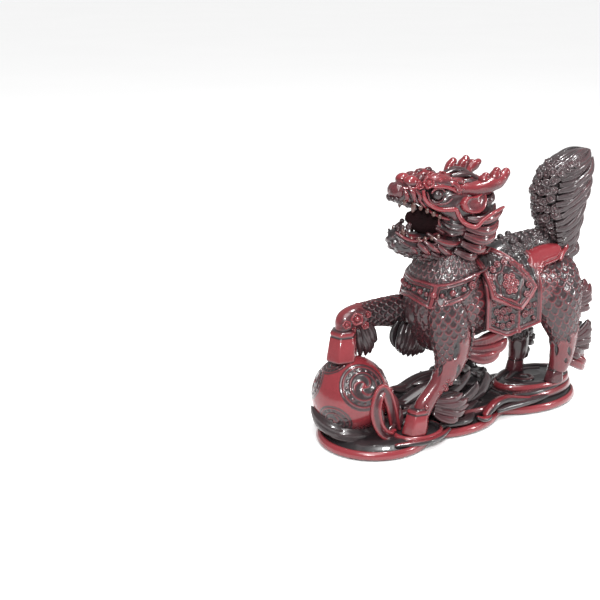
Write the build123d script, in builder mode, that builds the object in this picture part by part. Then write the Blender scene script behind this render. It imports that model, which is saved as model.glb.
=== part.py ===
"""Guardian beast figure in cast resin, with one forefoot on a ball, on a cloud-shaped plinth.

Millimetres. +Z is up, the beast faces -X, and its left side is towards -Y.
The origin is on the table, under the middle of the plinth.
"""
from build123d import *
import os

# Driving dimensions
FIGURE_HEIGHT = 159.0  # table to the top of the antlers
PLINTH_WIDTH = 66.0
PLINTH_TOP = 8.0
PLINTH_FOOT = 0.3  # the felt stands this far below the plinth
FELT_THICKNESS = 1.0
FELT_INSET = 2.5
MID_CLOUD_TOP = 11.5
REAR_ROCK_TOP = 15.0

BALL_RADIUS = 20.5
BALL_CENTRE = (-71.5, 6.0, 25.5)

FORE_FOOT = (-41.0, -20.0)  # where the three standing hooves touch down, X and Y
LEFT_HIND_FOOT = (68.0, -12.0)
RIGHT_HIND_FOOT = (57.0, 13.0)
HOOF_HEIGHT = 9.0

BLANKET_FRONT = 1.0  # saddle cloth, along X
BLANKET_REAR = 42.0
CLOTH_THICKNESS = 1.8
PIN_RADIUS = 1.0
DOWEL_RADIUS = 2.5

finished = []


def finish(made, name):
    """Labels a finished piece, keeps it for the export at the end, and returns it."""
    made.part.label = name
    finished.append(made.part)
    return made.part


def limb(stations):
    """Loft through ellipses square to a path. A station is (centre, half width across, half depth)."""
    centres = [Vector(*station[0]) for station in stations]
    with BuildPart() as made:
        for i, (centre, half_width, half_depth) in enumerate(stations):
            ahead = centres[min(i + 1, len(centres) - 1)]
            behind = centres[max(i - 1, 0)]
            heading = (ahead - behind).normalized()
            with BuildSketch(Plane(origin=centre, x_dir=(0, 1, 0), z_dir=tuple(heading))):
                Ellipse(half_width, half_depth)
        loft()
    return made


def lengthwise(stations, grow=0.0):
    """Loft through upright ellipses along X. A station is (x, height of centre, half width, half height)."""
    with BuildPart() as made:
        for x, height, half_width, half_height in stations:
            with BuildSketch(Plane.YZ.offset(x)):
                with Locations((0, height)):
                    Ellipse(half_width + grow, half_height + grow)
        loft()
    return made


def cut_from(made, *others):
    """Takes neighbouring pieces out of a piece, so that they meet face to face."""
    with made:
        for other in others:
            add(other, mode=Mode.SUBTRACT)
    return made


def keep_above(made, height):
    """Cuts a piece off flat underneath."""
    with made:
        with Locations((0, 0, height)):
            Box(400, 200, 200, align=(Align.CENTER, Align.CENTER, Align.MIN), mode=Mode.INTERSECT)
    return made


def pin(start, end, radius):
    """A round steel pin between two points."""
    start, end = Vector(*start), Vector(*end)
    with BuildPart() as made:
        with BuildSketch(Plane(origin=start, z_dir=tuple((end - start).normalized()))):
            Circle(radius)
        extrude(amount=(end - start).length)
    return made


def mirrored(part):
    """The same piece on the other side of the beast."""
    return part.mirror(Plane.XZ)


# Steel pins and dowels that the glued castings are located by ---------------------------------
PIN_SUNK = 4.0  # how far a hoof pin goes down into the clouds
PIN_RISE = 3.0  # and how far past the hoof it goes up into the leg
standing_feet = (
    (FORE_FOOT, PLINTH_TOP),
    (LEFT_HIND_FOOT, REAR_ROCK_TOP),
    (RIGHT_HIND_FOOT, REAR_ROCK_TOP),
)
with BuildPart() as hoof_pins:
    for (x, y), ground in standing_feet:
        with Locations((x, y, ground - PIN_SUNK)):
            Cylinder(
                PIN_RADIUS,
                PIN_SUNK + HOOF_HEIGHT + PIN_RISE,
                align=(Align.CENTER, Align.CENTER, Align.MIN),
            )
hoof_pins_part = finish(hoof_pins, "hoof_pins")

ball_pin = pin(
    (BALL_CENTRE[0], BALL_CENTRE[1], 2.5),
    (BALL_CENTRE[0], BALL_CENTRE[1], 14.0),
    PIN_RADIUS,
)
ball_pin_part = finish(ball_pin, "ball_pin")

tail_dowel = pin((64.0, 0, 88.0), (72.0, 0, 112.0), DOWEL_RADIUS)
tail_dowel_part = finish(tail_dowel, "tail_dowel")

head_dowel = pin((-10.0, 0, 96.0), (-4.0, 0, 124.0), DOWEL_RADIUS)
head_dowel_part = finish(head_dowel, "head_dowel")

# Plinth, with its felt ------------------------------------------------------------------------
PLINTH_LOBES = (  # centre along X, half length, half width
    (-58.0, 35.0, PLINTH_WIDTH / 2),
    (-8.0, 38.0, 27.0),
    (56.0, 37.0, 23.0),
)
LOBE_NECK_RADIUS = 5.0
PLINTH_EDGE_RADIUS = 1.6


def lobed_outline(inset=0.0):
    """The cloud outline: overlapping ellipses, with the notches between them rounded."""
    with BuildSketch() as outline:
        for x, half_length, half_width in PLINTH_LOBES:
            with Locations((x, 0)):
                Ellipse(half_length - inset, half_width - inset)
        fillet(outline.vertices().filter_by(lambda v: abs(v.Y) > 1.0), LOBE_NECK_RADIUS)
    return outline.sketch


plinth_outline = lobed_outline()
felt_outline = lobed_outline(FELT_INSET)
with BuildPart() as felt_sheet:
    with BuildSketch():
        add(felt_outline)
    extrude(amount=FELT_THICKNESS)
felt_part = finish(felt_sheet, "felt_sheet")

with BuildPart() as ball:
    with Locations(BALL_CENTRE):
        Sphere(BALL_RADIUS)
cut_from(ball, ball_pin_part)
ball_part = finish(ball, "ball")

with BuildPart() as plinth:
    with BuildSketch(Plane.XY.offset(PLINTH_FOOT)):
        add(plinth_outline)
    extrude(amount=PLINTH_TOP - PLINTH_FOOT)
    fillet(plinth.edges().group_by(Axis.Z)[-1], PLINTH_EDGE_RADIUS)
cut_from(plinth, felt_part, ball_part, ball_pin_part, hoof_pins_part)
plinth_part = finish(plinth, "plinth")

# Clouds and rocks that stand on the plinth -----------------------------------------------------
with BuildPart() as rear_rock:
    with BuildSketch(Plane.XY.offset(PLINTH_TOP)):
        with Locations((59.0, 0)):
            Ellipse(31.0, 19.0)
    extrude(amount=REAR_ROCK_TOP - PLINTH_TOP, taper=12)
cut_from(rear_rock, hoof_pins_part)
rear_rock_part = finish(rear_rock, "rear_rock")

with BuildPart() as middle_cloud:
    with BuildSketch(Plane.XY.offset(PLINTH_TOP)):
        with Locations((4.0, 2.0)):
            Ellipse(30.0, 20.0)
    extrude(amount=MID_CLOUD_TOP - PLINTH_TOP, taper=15)
cut_from(middle_cloud, rear_rock_part)
middle_cloud_part = finish(middle_cloud, "middle_cloud")

WAVE_BODY = (  # a wave that climbs from behind the ball to under the belly
    ((-44.0, 15.0, 11.0), 9.0, 5.0),
    ((-26.0, 13.0, 15.0), 10.0, 7.0),
    ((-8.0, 9.0, 19.0), 11.0, 9.0),
    ((10.0, 6.0, 20.0), 10.0, 9.0),
    ((24.0, 6.0, 15.0), 8.0, 6.0),
)
wave_crest = limb(WAVE_BODY)
cut_from(wave_crest, plinth_part, middle_cloud_part, rear_rock_part, ball_part)
keep_above(wave_crest, PLINTH_TOP)
wave_crest_part = finish(wave_crest, "wave_crest")

CRADLE_RADIUS = 18.0  # to the middle of the ring of foam that the ball sits in
CRADLE_SECTION = (5.0, 6.0)
CRADLE_START = 95.0  # the ring is open behind the ball
CRADLE_ARC = 250.0
ball_axis = Axis((BALL_CENTRE[0], BALL_CENTRE[1], 0), (0, 0, 1))
ring_start = Vector(1, 0, 0).rotate(Axis.Z, CRADLE_START)
ring_plane = Plane(
    origin=ball_axis.position, x_dir=ring_start, z_dir=ring_start.cross(Vector(0, 0, 1))
)
with BuildPart() as ball_cradle:
    with BuildSketch(ring_plane):
        with Locations((CRADLE_RADIUS, PLINTH_TOP + CRADLE_SECTION[1] / 2)):
            Rectangle(*CRADLE_SECTION)
    revolve(axis=ball_axis, revolution_arc=CRADLE_ARC)
    with BuildSketch():
        add(lobed_outline(1.0))
    extrude(amount=FIGURE_HEIGHT, mode=Mode.INTERSECT)
cut_from(ball_cradle, ball_part, wave_crest_part)
ball_cradle_part = finish(ball_cradle, "ball_cradle")

RIBBON_LOOP_RADIUS = 9.5
RIBBON_THICKNESS = 3.0
RIBBON_TURN = 40.0
with BuildPart() as ball_ribbon:
    with BuildSketch(Plane.XZ.rotated((0, 0, RIBBON_TURN))):
        Ellipse(6.5, RIBBON_LOOP_RADIUS + 1.5)
        Ellipse(3.0, RIBBON_LOOP_RADIUS - 3.5, mode=Mode.SUBTRACT)
    extrude(amount=RIBBON_THICKNESS, both=True)
ball_ribbon.part.move(Location((-56.5, -11.5, PLINTH_TOP + RIBBON_LOOP_RADIUS + 1.5)))
cut_from(ball_ribbon, ball_part, ball_cradle_part)
ball_ribbon_part = finish(ball_ribbon, "ball_ribbon")

# Body, with the two shells of the head and the neck under them ----------------------------------
TORSO_STATIONS = (  # x, height of centre, half width, half height
    (-41.0, 71.0, 6.0, 8.0),
    (-36.0, 71.5, 15.0, 18.0),
    (-20.0, 74.0, 22.0, 25.0),
    (0.0, 77.0, 21.5, 24.5),
    (22.0, 78.5, 20.0, 23.0),
    (45.0, 78.0, 19.5, 22.5),
    (64.0, 77.0, 19.0, 20.0),
    (77.0, 76.0, 13.0, 14.0),
    (83.0, 76.0, 6.0, 6.0),
)
torso = lengthwise(TORSO_STATIONS)
cut_from(torso, tail_dowel_part, head_dowel_part)
torso_part = finish(torso, "torso")

skull = lengthwise((
    (18.0, 132.0, 10.0, 12.0),
    (9.0, 132.0, 16.0, 17.0),
    (-5.0, 134.0, 17.0, 18.5),
    (-19.0, 139.0, 14.5, 14.0),
    (-31.0, 142.5, 10.5, 9.5),
    (-41.0, 144.0, 8.5, 7.0),
    (-47.0, 145.0, 5.0, 4.0),
))
cut_from(skull, head_dowel_part)
skull_part = finish(skull, "skull")

lower_jaw = lengthwise((
    (0.0, 114.5, 13.0, 7.0),
    (-14.0, 114.0, 13.0, 8.0),
    (-26.0, 112.5, 11.5, 6.5),
    (-36.0, 112.5, 10.0, 5.5),
    (-43.0, 115.5, 8.0, 5.0),
    (-47.0, 118.0, 4.5, 3.0),
))
cut_from(lower_jaw, skull_part, head_dowel_part)
jaw_part = finish(lower_jaw, "lower_jaw")

NECK_STATIONS = (
    ((-19.0, 0, 82.0), 21.5, 23.0),
    ((-15.5, 0, 93.0), 21.5, 25.5),
    ((-11.5, 0, 104.0), 19.5, 25.0),
    ((-7.0, 0, 113.0), 17.0, 21.0),
)
neck = limb(NECK_STATIONS)
cut_from(neck, torso_part, skull_part, jaw_part, head_dowel_part)
neck_part = finish(neck, "neck")

# Legs and hooves -------------------------------------------------------------------------------


def hoof(x, y, ground, length=12.0, width=10.0):
    """A hoof that widens towards the ground, standing on it."""
    with BuildPart() as made:
        with BuildSketch(Plane.XY.offset(ground)):
            with Locations((x, y)):
                Ellipse(length / 2, width / 2)
        with BuildSketch(Plane.XY.offset(ground + HOOF_HEIGHT)):
            with Locations((x + 1.5, y)):
                Ellipse(length / 2 - 2.0, width / 2 - 1.5)
        loft()
    return made


left_fore_leg = limb((
    ((-21.0, -14.0, 80.0), 9.0, 12.0),
    ((-22.0, -17.5, 66.0), 8.5, 12.0),
    ((-25.0, -19.5, 52.0), 6.0, 9.0),
    ((-29.0, -20.0, 40.0), 5.0, 6.5),
    ((-34.0, -20.0, 29.0), 4.0, 5.0),
    ((-37.0, -20.0, 22.0), 4.5, 5.0),
    ((-39.0, -20.0, PLINTH_TOP + HOOF_HEIGHT), 4.0, 4.5),
))
left_hind_leg = limb((
    ((64.0, -9.0, 82.0), 10.0, 17.0),
    ((65.0, -12.0, 70.0), 11.0, 18.0),
    ((66.0, -14.0, 58.0), 8.0, 12.5),
    ((69.0, -14.0, 48.0), 6.0, 8.5),
    ((70.0, -13.0, 38.0), 5.0, 6.5),
    ((69.5, -12.0, 30.0), 4.5, 5.5),
    ((69.0, -12.0, REAR_ROCK_TOP + HOOF_HEIGHT), 4.5, 5.0),
))
right_hind_leg = limb((
    ((60.0, 7.0, 82.0), 10.0, 17.0),
    ((58.0, 12.0, 70.0), 10.0, 16.0),
    ((55.0, 14.0, 58.0), 8.0, 12.0),
    ((56.0, 14.0, 48.0), 6.0, 8.5),
    ((59.0, 13.5, 38.0), 5.0, 6.5),
    ((59.0, 13.0, 30.0), 4.5, 5.5),
    ((58.0, 13.0, REAR_ROCK_TOP + HOOF_HEIGHT), 4.5, 5.0),
))
RAISED_HOOF_FOOT = (-71.0, 8.5, 46.5)
RAISED_HOOF_TOP = (-69.5, 12.5, 59.0)
right_fore_leg = limb((
    ((-24.0, 13.0, 70.0), 8.0, 13.0),
    ((-36.0, 15.5, 73.0), 7.5, 10.0),
    ((-47.0, 16.5, 74.5), 6.0, 7.0),
    ((-58.0, 16.0, 73.0), 5.5, 6.0),
    ((-66.0, 15.0, 69.0), 5.0, 5.5),
    ((-69.0, 13.5, 63.5), 4.5, 5.0),
    (RAISED_HOOF_TOP, 4.2, 4.6),
))
right_fore_hoof = limb((
    (RAISED_HOOF_TOP, 4.8, 4.8),
    ((-70.4, 10.0, 51.0), 6.2, 6.4),
    (RAISED_HOOF_FOOT, 6.4, 6.6),
))
for leg, name in (
    (left_fore_leg, "left_fore_leg"),
    (left_hind_leg, "left_hind_leg"),
    (right_hind_leg, "right_hind_leg"),
):
    cut_from(leg, torso_part, neck_part, hoof_pins_part)
cut_from(left_hind_leg, tail_dowel_part)
cut_from(right_hind_leg, tail_dowel_part)
left_fore_leg_part = finish(left_fore_leg, "left_fore_leg")
left_hind_leg_part = finish(left_hind_leg, "left_hind_leg")
right_hind_leg_part = finish(right_hind_leg, "right_hind_leg")
cut_from(right_fore_leg, torso_part, neck_part)
right_fore_leg_part = finish(right_fore_leg, "right_fore_leg")
cut_from(right_fore_hoof, ball_part, right_fore_leg_part)
right_fore_hoof_part = finish(right_fore_hoof, "right_fore_hoof")

hoof_parts = []
for ((x, y), ground), name in zip(
    standing_feet, ("left_fore_hoof", "left_hind_hoof", "right_hind_hoof"), strict=True
):
    made = hoof(x, y, ground)
    cut_from(made, hoof_pins_part, left_fore_leg_part, left_hind_leg_part, right_hind_leg_part)
    hoof_parts.append(finish(made, name))

# Tail ------------------------------------------------------------------------------------------
tail_core = limb((
    ((66.0, 0, 94.0), 9.0, 10.0),
    ((68.0, 0, 104.0), 9.0, 12.0),
    ((69.0, 0, 115.0), 9.5, 15.0),
    ((69.5, 0, 127.0), 10.0, 18.0),
    ((72.0, 0, 139.0), 9.5, 18.0),
    ((79.0, 0, 149.0), 7.5, 14.0),
    ((86.0, 0, 154.5), 4.0, 6.5),
))
cut_from(tail_core, torso_part, tail_dowel_part, left_hind_leg_part, right_hind_leg_part)
tail_part = finish(tail_core, "tail")

# What is set into the head ----------------------------------------------------------------------
tongue = lengthwise((
    (-16.0, 123.0, 5.0, 2.0),
    (-28.0, 121.0, 5.0, 1.8),
    (-38.0, 121.5, 4.0, 1.5),
    (-42.0, 123.0, 2.0, 1.0),
))
cut_from(tongue, jaw_part, skull_part, neck_part)
tongue_part = finish(tongue, "tongue")

LOWER_TEETH = ((-42.5, 4.5), (-42.5, -4.5), (-37.0, 6.5), (-37.0, -6.5), (-31.0, 7.5), (-31.0, -7.5))
UPPER_TEETH = ((-43.0, 5.0), (-43.0, -5.0), (-37.0, 7.0), (-37.0, -7.0), (-30.0, 8.5), (-30.0, -8.5))
TOOTH_HEIGHT = 7.0
with BuildPart() as lower_teeth:
    for x, y in LOWER_TEETH:
        with Locations((x, y, 115.0)):
            Cone(1.7, 0.4, TOOTH_HEIGHT + 2.0, align=(Align.CENTER, Align.CENTER, Align.MIN))
cut_from(lower_teeth, jaw_part, tongue_part, neck_part)
lower_teeth_part = finish(lower_teeth, "lower_teeth")
with BuildPart() as upper_teeth:
    for x, y in UPPER_TEETH:
        with Locations((x, y, 143.0)):
            Cone(0.4, 1.7, TOOTH_HEIGHT + 5.0, align=(Align.CENTER, Align.CENTER, Align.MAX))
cut_from(upper_teeth, skull_part)
upper_teeth_part = finish(upper_teeth, "upper_teeth")

EYE_RADIUS = 3.4
EYE_PLACE = (-24.5, 11.0, 146.0)
with BuildPart() as eyes:
    for side in (-1, 1):
        with Locations((EYE_PLACE[0], side * EYE_PLACE[1], EYE_PLACE[2])):
            Sphere(EYE_RADIUS)
cut_from(eyes, skull_part)
eyes_part = finish(eyes, "eyes")

left_brow = limb((
    ((-31.0, -7.5, 151.0), 2.5, 2.5),
    ((-25.0, -9.5, 153.5), 4.5, 3.5),
    ((-17.0, -10.5, 152.5), 4.5, 3.5),
    ((-10.0, -11.5, 149.0), 3.0, 2.5),
))
cut_from(left_brow, skull_part, eyes_part)
left_brow_part = finish(left_brow, "left_brow")
with BuildPart() as right_brow:
    add(mirrored(left_brow_part))
right_brow_part = finish(right_brow, "right_brow")

with BuildPart() as nose:
    for side in (-1, 1):
        with Locations((-40.5, side * 5.0, 150.5)):
            Sphere(4.6)
    with Locations((-46.0, 0, 148.0)):
        Sphere(5.0)
cut_from(nose, skull_part)
nose_part = finish(nose, "nose")

left_antler = limb((
    ((-8.0, -8.5, 148.0), 2.6, 2.6),
    ((-2.0, -11.0, 149.5), 3.0, 3.0),
    ((6.0, -13.0, 150.0), 3.4, 3.6),
    ((14.0, -14.0, 151.5), 3.2, 3.8),
    ((21.0, -14.5, 155.0), 2.0, 2.2),
))
TINES = (  # foot and tip of each upright tine
    ((1.0, -12.0, 149.5), (-0.5, -13.0, 156.0)),
    ((8.5, -13.5, 151.0), (8.0, -14.5, 158.8)),
)
with BuildPart() as left_antler_solid:
    add(left_antler.part)
    for foot, tip in TINES:
        add(limb(((foot, 2.4, 2.8), (tip, 1.6, 1.8))).part)
    Box(200, 100, FIGURE_HEIGHT, align=(Align.CENTER, Align.CENTER, Align.MIN), mode=Mode.INTERSECT)
cut_from(left_antler_solid, skull_part, left_brow_part)
left_antler_part = finish(left_antler_solid, "left_antler")
with BuildPart() as right_antler:
    add(mirrored(left_antler_part))
right_antler_part = finish(right_antler, "right_antler")

left_ear = limb((
    ((-1.0, -16.0, 139.0), 2.0, 3.0),
    ((4.0, -18.5, 141.0), 2.4, 5.0),
    ((10.0, -19.5, 143.0), 1.8, 4.0),
    ((15.0, -19.5, 145.0), 0.8, 1.2),
))
cut_from(left_ear, skull_part, left_antler_part)
left_ear_part = finish(left_ear, "left_ear")
with BuildPart() as right_ear:
    add(mirrored(left_ear_part))
right_ear_part = finish(right_ear, "right_ear")

mane = lengthwise((
    (0.0, 128.0, 20.0, 22.0),
    (10.0, 127.0, 20.0, 21.0),
    (20.0, 126.0, 14.0, 15.0),
    (25.0, 127.0, 6.0, 8.0),
))
cut_from(
    mane, skull_part, neck_part, jaw_part, torso_part,
    left_ear_part, right_ear_part, left_antler_part, right_antler_part,
)
mane_part = finish(mane, "mane")

beard = limb((
    ((-45.0, 0, 110.5), 5.0, 3.0),
    ((-39.0, 0, 108.0), 8.0, 3.5),
    ((-32.0, 0, 106.0), 10.0, 4.0),
))
cut_from(beard, jaw_part, neck_part)
beard_part = finish(beard, "beard")

# Harness: collar, saddle cloth, saddle flap, pommel and crupper ---------------------------------
COLLAR_TILT = 13.0
COLLAR_WIDTH = 13.0
collar_form = limb(tuple((c, w + CLOTH_THICKNESS, d + CLOTH_THICKNESS) for c, w, d in NECK_STATIONS))
with BuildPart() as collar:
    add(collar_form.part)
    with Locations(Location((-16.0, 0, 92.5), (0, -COLLAR_TILT, 0))):
        Box(120, 80, COLLAR_WIDTH, mode=Mode.INTERSECT)
cut_from(collar, neck_part, torso_part, left_fore_leg_part, right_fore_leg_part, head_dowel_part)
collar_part = finish(collar, "collar")

ARCH_HALF_WIDTH = 22.5
ARCH_CENTRE = 78.0
ARCH_RISE = 24.5
CLOTH_HEM = 60.0


def saddle_arch(front, rear, grow, hem):
    """An arch over the back: half ellipse above the widest line, straight sides below, lengthwise along X."""
    with BuildPart() as made:
        with BuildSketch(Plane.YZ.offset(front)):
            with Locations((0, ARCH_CENTRE)):
                Ellipse(ARCH_HALF_WIDTH + grow, ARCH_RISE + grow)
            with Locations((0, hem)):
                Rectangle(
                    2 * (ARCH_HALF_WIDTH + grow), ARCH_CENTRE - hem, align=(Align.CENTER, Align.MIN)
                )
            with Locations((0, hem)):
                Rectangle(80, 60, align=(Align.CENTER, Align.MAX), mode=Mode.SUBTRACT)
        extrude(amount=rear - front)
    return made


blanket = saddle_arch(BLANKET_FRONT, BLANKET_REAR, CLOTH_THICKNESS, CLOTH_HEM)
inside_arch = saddle_arch(BLANKET_FRONT - 5, BLANKET_REAR + 5, 0.0, CLOTH_HEM - 10)
cut_from(blanket, inside_arch.part, torso_part, neck_part, collar_part)
cut_from(blanket, left_hind_leg_part, right_hind_leg_part)
blanket_part = finish(blanket, "saddle_cloth")

FLAP_OUTLINE = ((BLANKET_FRONT, 83.0), (21.0, 74.0), (39.0, 84.0), (33.0, 120.0), (BLANKET_FRONT, 120.0))
flap = saddle_arch(BLANKET_FRONT, BLANKET_REAR, 2 * CLOTH_THICKNESS, CLOTH_HEM)
with BuildPart() as flap_prism:
    with BuildSketch(Plane.XZ):
        with BuildLine():
            Polyline(*FLAP_OUTLINE, close=True)
        make_face()
    extrude(amount=60, both=True)
flap_bore = saddle_arch(BLANKET_FRONT - 5, BLANKET_REAR + 5, CLOTH_THICKNESS, CLOTH_HEM - 10)
with flap:
    add(flap_prism.part, mode=Mode.INTERSECT)
cut_from(flap, flap_bore.part, torso_part, neck_part, collar_part, mane_part)
flap_part = finish(flap, "saddle_flap")

with BuildPart() as pommel:
    with Locations((19.0, 0, 107.5)):
        Sphere(4.5)
cut_from(pommel, flap_part, blanket_part, torso_part, neck_part, mane_part)
pommel_part = finish(pommel, "saddle_pommel")

with BuildPart() as crupper:
    with BuildSketch(Plane.YZ.offset(BLANKET_REAR)):
        with Locations((0, 77.5)):
            Ellipse(20.5, 25.0)
    with BuildSketch(Plane.YZ.offset(62.0)):
        with Locations((0, 77.0)):
            Ellipse(20.5, 22.0)
    with BuildSketch(Plane.YZ.offset(80.0)):
        with Locations((0, 80.0)):
            Ellipse(14.0, 14.0)
    loft()
keep_above(crupper, 90.0)
cut_from(crupper, torso_part, left_hind_leg_part, right_hind_leg_part, tail_part, tail_dowel_part)
crupper_part = finish(crupper, "crupper_cover")

CURL_RADIUS = 4.0
CURL_ROWS = (  # x, how far out to each side, height
    (46.0, 0.0, 105.0), (54.0, 0.0, 104.0), (46.0, 8.0, 102.5), (54.0, 8.0, 101.0), (61.0, 11.0, 97.0),
)
with BuildPart() as back_curls:
    for x, side, height in CURL_ROWS:
        for y in sorted({-side, side}):
            with Locations((x, y, height)):
                Sphere(CURL_RADIUS)
cut_from(
    back_curls, crupper_part, torso_part, tail_part, blanket_part,
    left_hind_leg_part, right_hind_leg_part,
)
back_curls_part = finish(back_curls, "back_curls")

# Tufts of hair on the legs ----------------------------------------------------------------------
TUFTS = {
    "left_elbow_tuft": (
        ((-14.0, -22.0, 53.0), 3.5, 6.0), ((-4.0, -24.0, 53.0), 3.5, 6.0),
        ((4.0, -24.5, 57.0), 2.5, 4.0), ((10.0, -24.0, 61.0), 0.8, 1.0),
    ),
    "left_fetlock_tuft": (
        ((-31.0, -20.0, 27.0), 3.0, 4.0), ((-24.0, -20.0, 22.0), 4.0, 5.5),
        ((-17.0, -19.0, 18.0), 3.0, 4.0), ((-12.0, -18.0, 16.0), 1.0, 1.5),
    ),
    "right_knee_tuft": (
        ((-62.0, 15.5, 66.0), 3.0, 4.0), ((-60.0, 16.0, 58.0), 4.0, 5.0),
        ((-58.0, 16.0, 50.0), 3.5, 4.0), ((-57.0, 16.0, 46.0), 1.5, 1.8),
    ),
    "chest_tuft": (
        ((-33.0, 10.0, 60.0), 5.0, 6.0), ((-32.0, 11.0, 52.0), 5.0, 7.0),
        ((-31.0, 11.5, 45.0), 4.0, 5.0), ((-30.0, 12.0, 41.5), 1.5, 2.0),
    ),
    "left_thigh_tuft": (
        ((78.0, -12.0, 68.0), 3.5, 6.0), ((84.0, -12.0, 67.0), 3.5, 7.0),
        ((89.0, -12.0, 66.0), 2.5, 4.5), ((92.0, -12.0, 66.0), 0.8, 1.2),
    ),
    "left_hock_tuft": (
        ((76.0, -13.5, 47.0), 3.0, 5.0), ((82.0, -13.0, 44.0), 3.0, 6.5),
        ((88.0, -12.5, 42.0), 2.5, 5.0), ((92.0, -12.0, 41.0), 0.8, 1.5),
    ),
    "left_heel_tuft": (
        ((75.0, -12.0, 32.0), 2.8, 4.0), ((80.0, -12.0, 27.0), 3.0, 4.5),
        ((85.0, -12.0, 22.0), 2.5, 3.5), ((88.0, -12.0, 18.5), 0.8, 1.2),
    ),
    "right_hock_tuft": (
        ((61.5, 14.0, 47.0), 3.0, 5.0), ((68.0, 14.0, 44.0), 3.0, 6.0),
        ((75.0, 14.0, 42.0), 2.5, 4.0), ((79.0, 14.0, 41.0), 0.8, 1.5),
    ),
}
for name, stations in TUFTS.items():
    tuft = limb(stations)
    cut_from(
        tuft, torso_part, neck_part, left_fore_leg_part, left_hind_leg_part, right_hind_leg_part,
        right_fore_leg_part, blanket_part, wave_crest_part, rear_rock_part, middle_cloud_part,
        plinth_part, *hoof_parts, right_fore_hoof_part, ball_part,
    )
    finish(tuft, name)

# Export -----------------------------------------------------------------------------------------
os.makedirs("parts", exist_ok=True)
for part in finished:
    export_step(part, f"parts/{part.label}.step")
print(len(finished), "pieces")
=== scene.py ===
import bpy
import numpy as np
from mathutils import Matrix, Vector


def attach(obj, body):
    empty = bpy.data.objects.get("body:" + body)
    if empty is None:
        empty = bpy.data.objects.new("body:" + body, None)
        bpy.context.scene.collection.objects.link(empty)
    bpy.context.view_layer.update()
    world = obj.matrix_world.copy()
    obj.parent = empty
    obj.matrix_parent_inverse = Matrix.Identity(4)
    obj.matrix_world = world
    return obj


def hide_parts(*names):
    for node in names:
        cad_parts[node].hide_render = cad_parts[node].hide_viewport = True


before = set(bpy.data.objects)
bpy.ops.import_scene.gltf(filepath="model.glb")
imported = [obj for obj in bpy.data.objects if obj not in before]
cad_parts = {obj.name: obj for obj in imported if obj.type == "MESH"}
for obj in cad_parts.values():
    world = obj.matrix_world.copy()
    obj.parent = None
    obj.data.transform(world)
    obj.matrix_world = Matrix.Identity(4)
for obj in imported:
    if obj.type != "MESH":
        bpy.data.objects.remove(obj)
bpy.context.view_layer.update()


# Steel pins, dowels and felt ---------------------------------------------------------------------
# Drawn steel pins and two dowels locate the castings and are glued in, so none of them shows.
# A sheet of pressed wool felt is glued under the plinth, so that the figure doesn't scratch a shelf.
class Signal:
    """One output of a shader node. Arithmetic on it adds Math nodes; node() adds any other node."""

    def __init__(self, tree, socket=None):
        self.tree, self.socket = tree, socket

    def node(self, kind, settings=None, out=0, values=(), **inputs):
        """Adds a shader node, sets it up, then fills its sockets: values in order, inputs by name."""
        made = self.tree.nodes.new("ShaderNode" + kind)
        for key, value in (settings or {}).items():
            if key == "stops":
                while len(made.color_ramp.elements) < len(value):
                    made.color_ramp.elements.new(1.0)
                for stop, (position, colour) in zip(made.color_ramp.elements, value):
                    stop.position, stop.color = position, (*colour, 1.0)
            else:
                setattr(made, key, value)
        named = [
            (next(s for s in made.inputs if s.enabled and s.name == key.replace("_", " ")), value)
            for key, value in inputs.items()
        ]
        for socket, value in [*zip(made.inputs, values), *named]:
            if isinstance(value, Signal):
                self.tree.links.new(value.socket, socket)
            else:
                socket.default_value = value
        return Signal(self.tree, made.outputs[out])

    def math(self, operation, *values):
        """Adds one Math node."""
        return self.node("Math", {"operation": operation}, values=values)

    def __add__(self, other):
        return self.math("ADD", self, other)

    def __sub__(self, other):
        return self.math("SUBTRACT", self, other)

    def __rsub__(self, other):
        return self.math("SUBTRACT", other, self)

    def __mul__(self, other):
        return self.math("MULTIPLY", self, other)

    __radd__, __rmul__ = __add__, __mul__

    def between(self, low, high):
        """0 below low, 1 above high, straight in between."""
        return self.node("MapRange", values=(self, low, high, 0.0, 1.0))


def painted(name, **constants):
    """A material with its constant shader sockets set. Returns it, its shader and a first signal."""
    material = bpy.data.materials.new(name)
    material.use_nodes = True
    shader = material.node_tree.nodes["Principled BSDF"]
    for key, value in constants.items():
        shader.inputs[key.replace("_", " ")].default_value = value
    return material, shader, Signal(material.node_tree)


def give(shader, **signals):
    """Links signals to the named sockets of a shader."""
    for key, signal in signals.items():
        signal.tree.links.new(signal.socket, shader.inputs[key.replace("_", " ")])


def drawn_steel():
    """Bright steel with fine lines drawn along the pin."""
    material, shader, steel = painted("drawn_steel", Metallic=1.0, Base_Color=(0.55, 0.56, 0.58, 1.0))
    place = steel.node("TexCoord", out="Object")
    stretched = steel.node("Mapping", Vector=place, Scale=(4000.0, 4000.0, 60.0))
    lines = steel.node("TexNoise", Vector=stretched, Scale=1.0, Detail=2.0)
    give(shader, Roughness=lines * 0.3 + 0.15)
    return material


def wool_felt():
    """Pressed green wool: matted fibres in two shades, with a soft fuzz."""
    material, shader, felt = painted("wool_felt", Roughness=0.95, Sheen_Weight=0.5)
    place = felt.node("TexCoord", out="Object")
    fibres = felt.node("TexNoise", Vector=place, Scale=2500.0, Detail=6.0)
    shades = ((0.35, (0.02, 0.06, 0.035)), (0.7, (0.05, 0.13, 0.08)))
    give(
        shader,
        Base_Color=felt.node("ValToRGB", {"stops": shades}, Fac=fibres),
        Normal=felt.node("Bump", Strength=0.6, Distance=0.0002, Height=fibres),
    )
    return material


steel = drawn_steel()
for node in ("hoof_pins", "ball_pin", "tail_dowel", "head_dowel"):
    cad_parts[node].data.materials.clear()
    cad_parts[node].data.materials.append(steel)
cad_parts["felt_sheet"].data.materials.clear()
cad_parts["felt_sheet"].data.materials.append(wool_felt())


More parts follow.
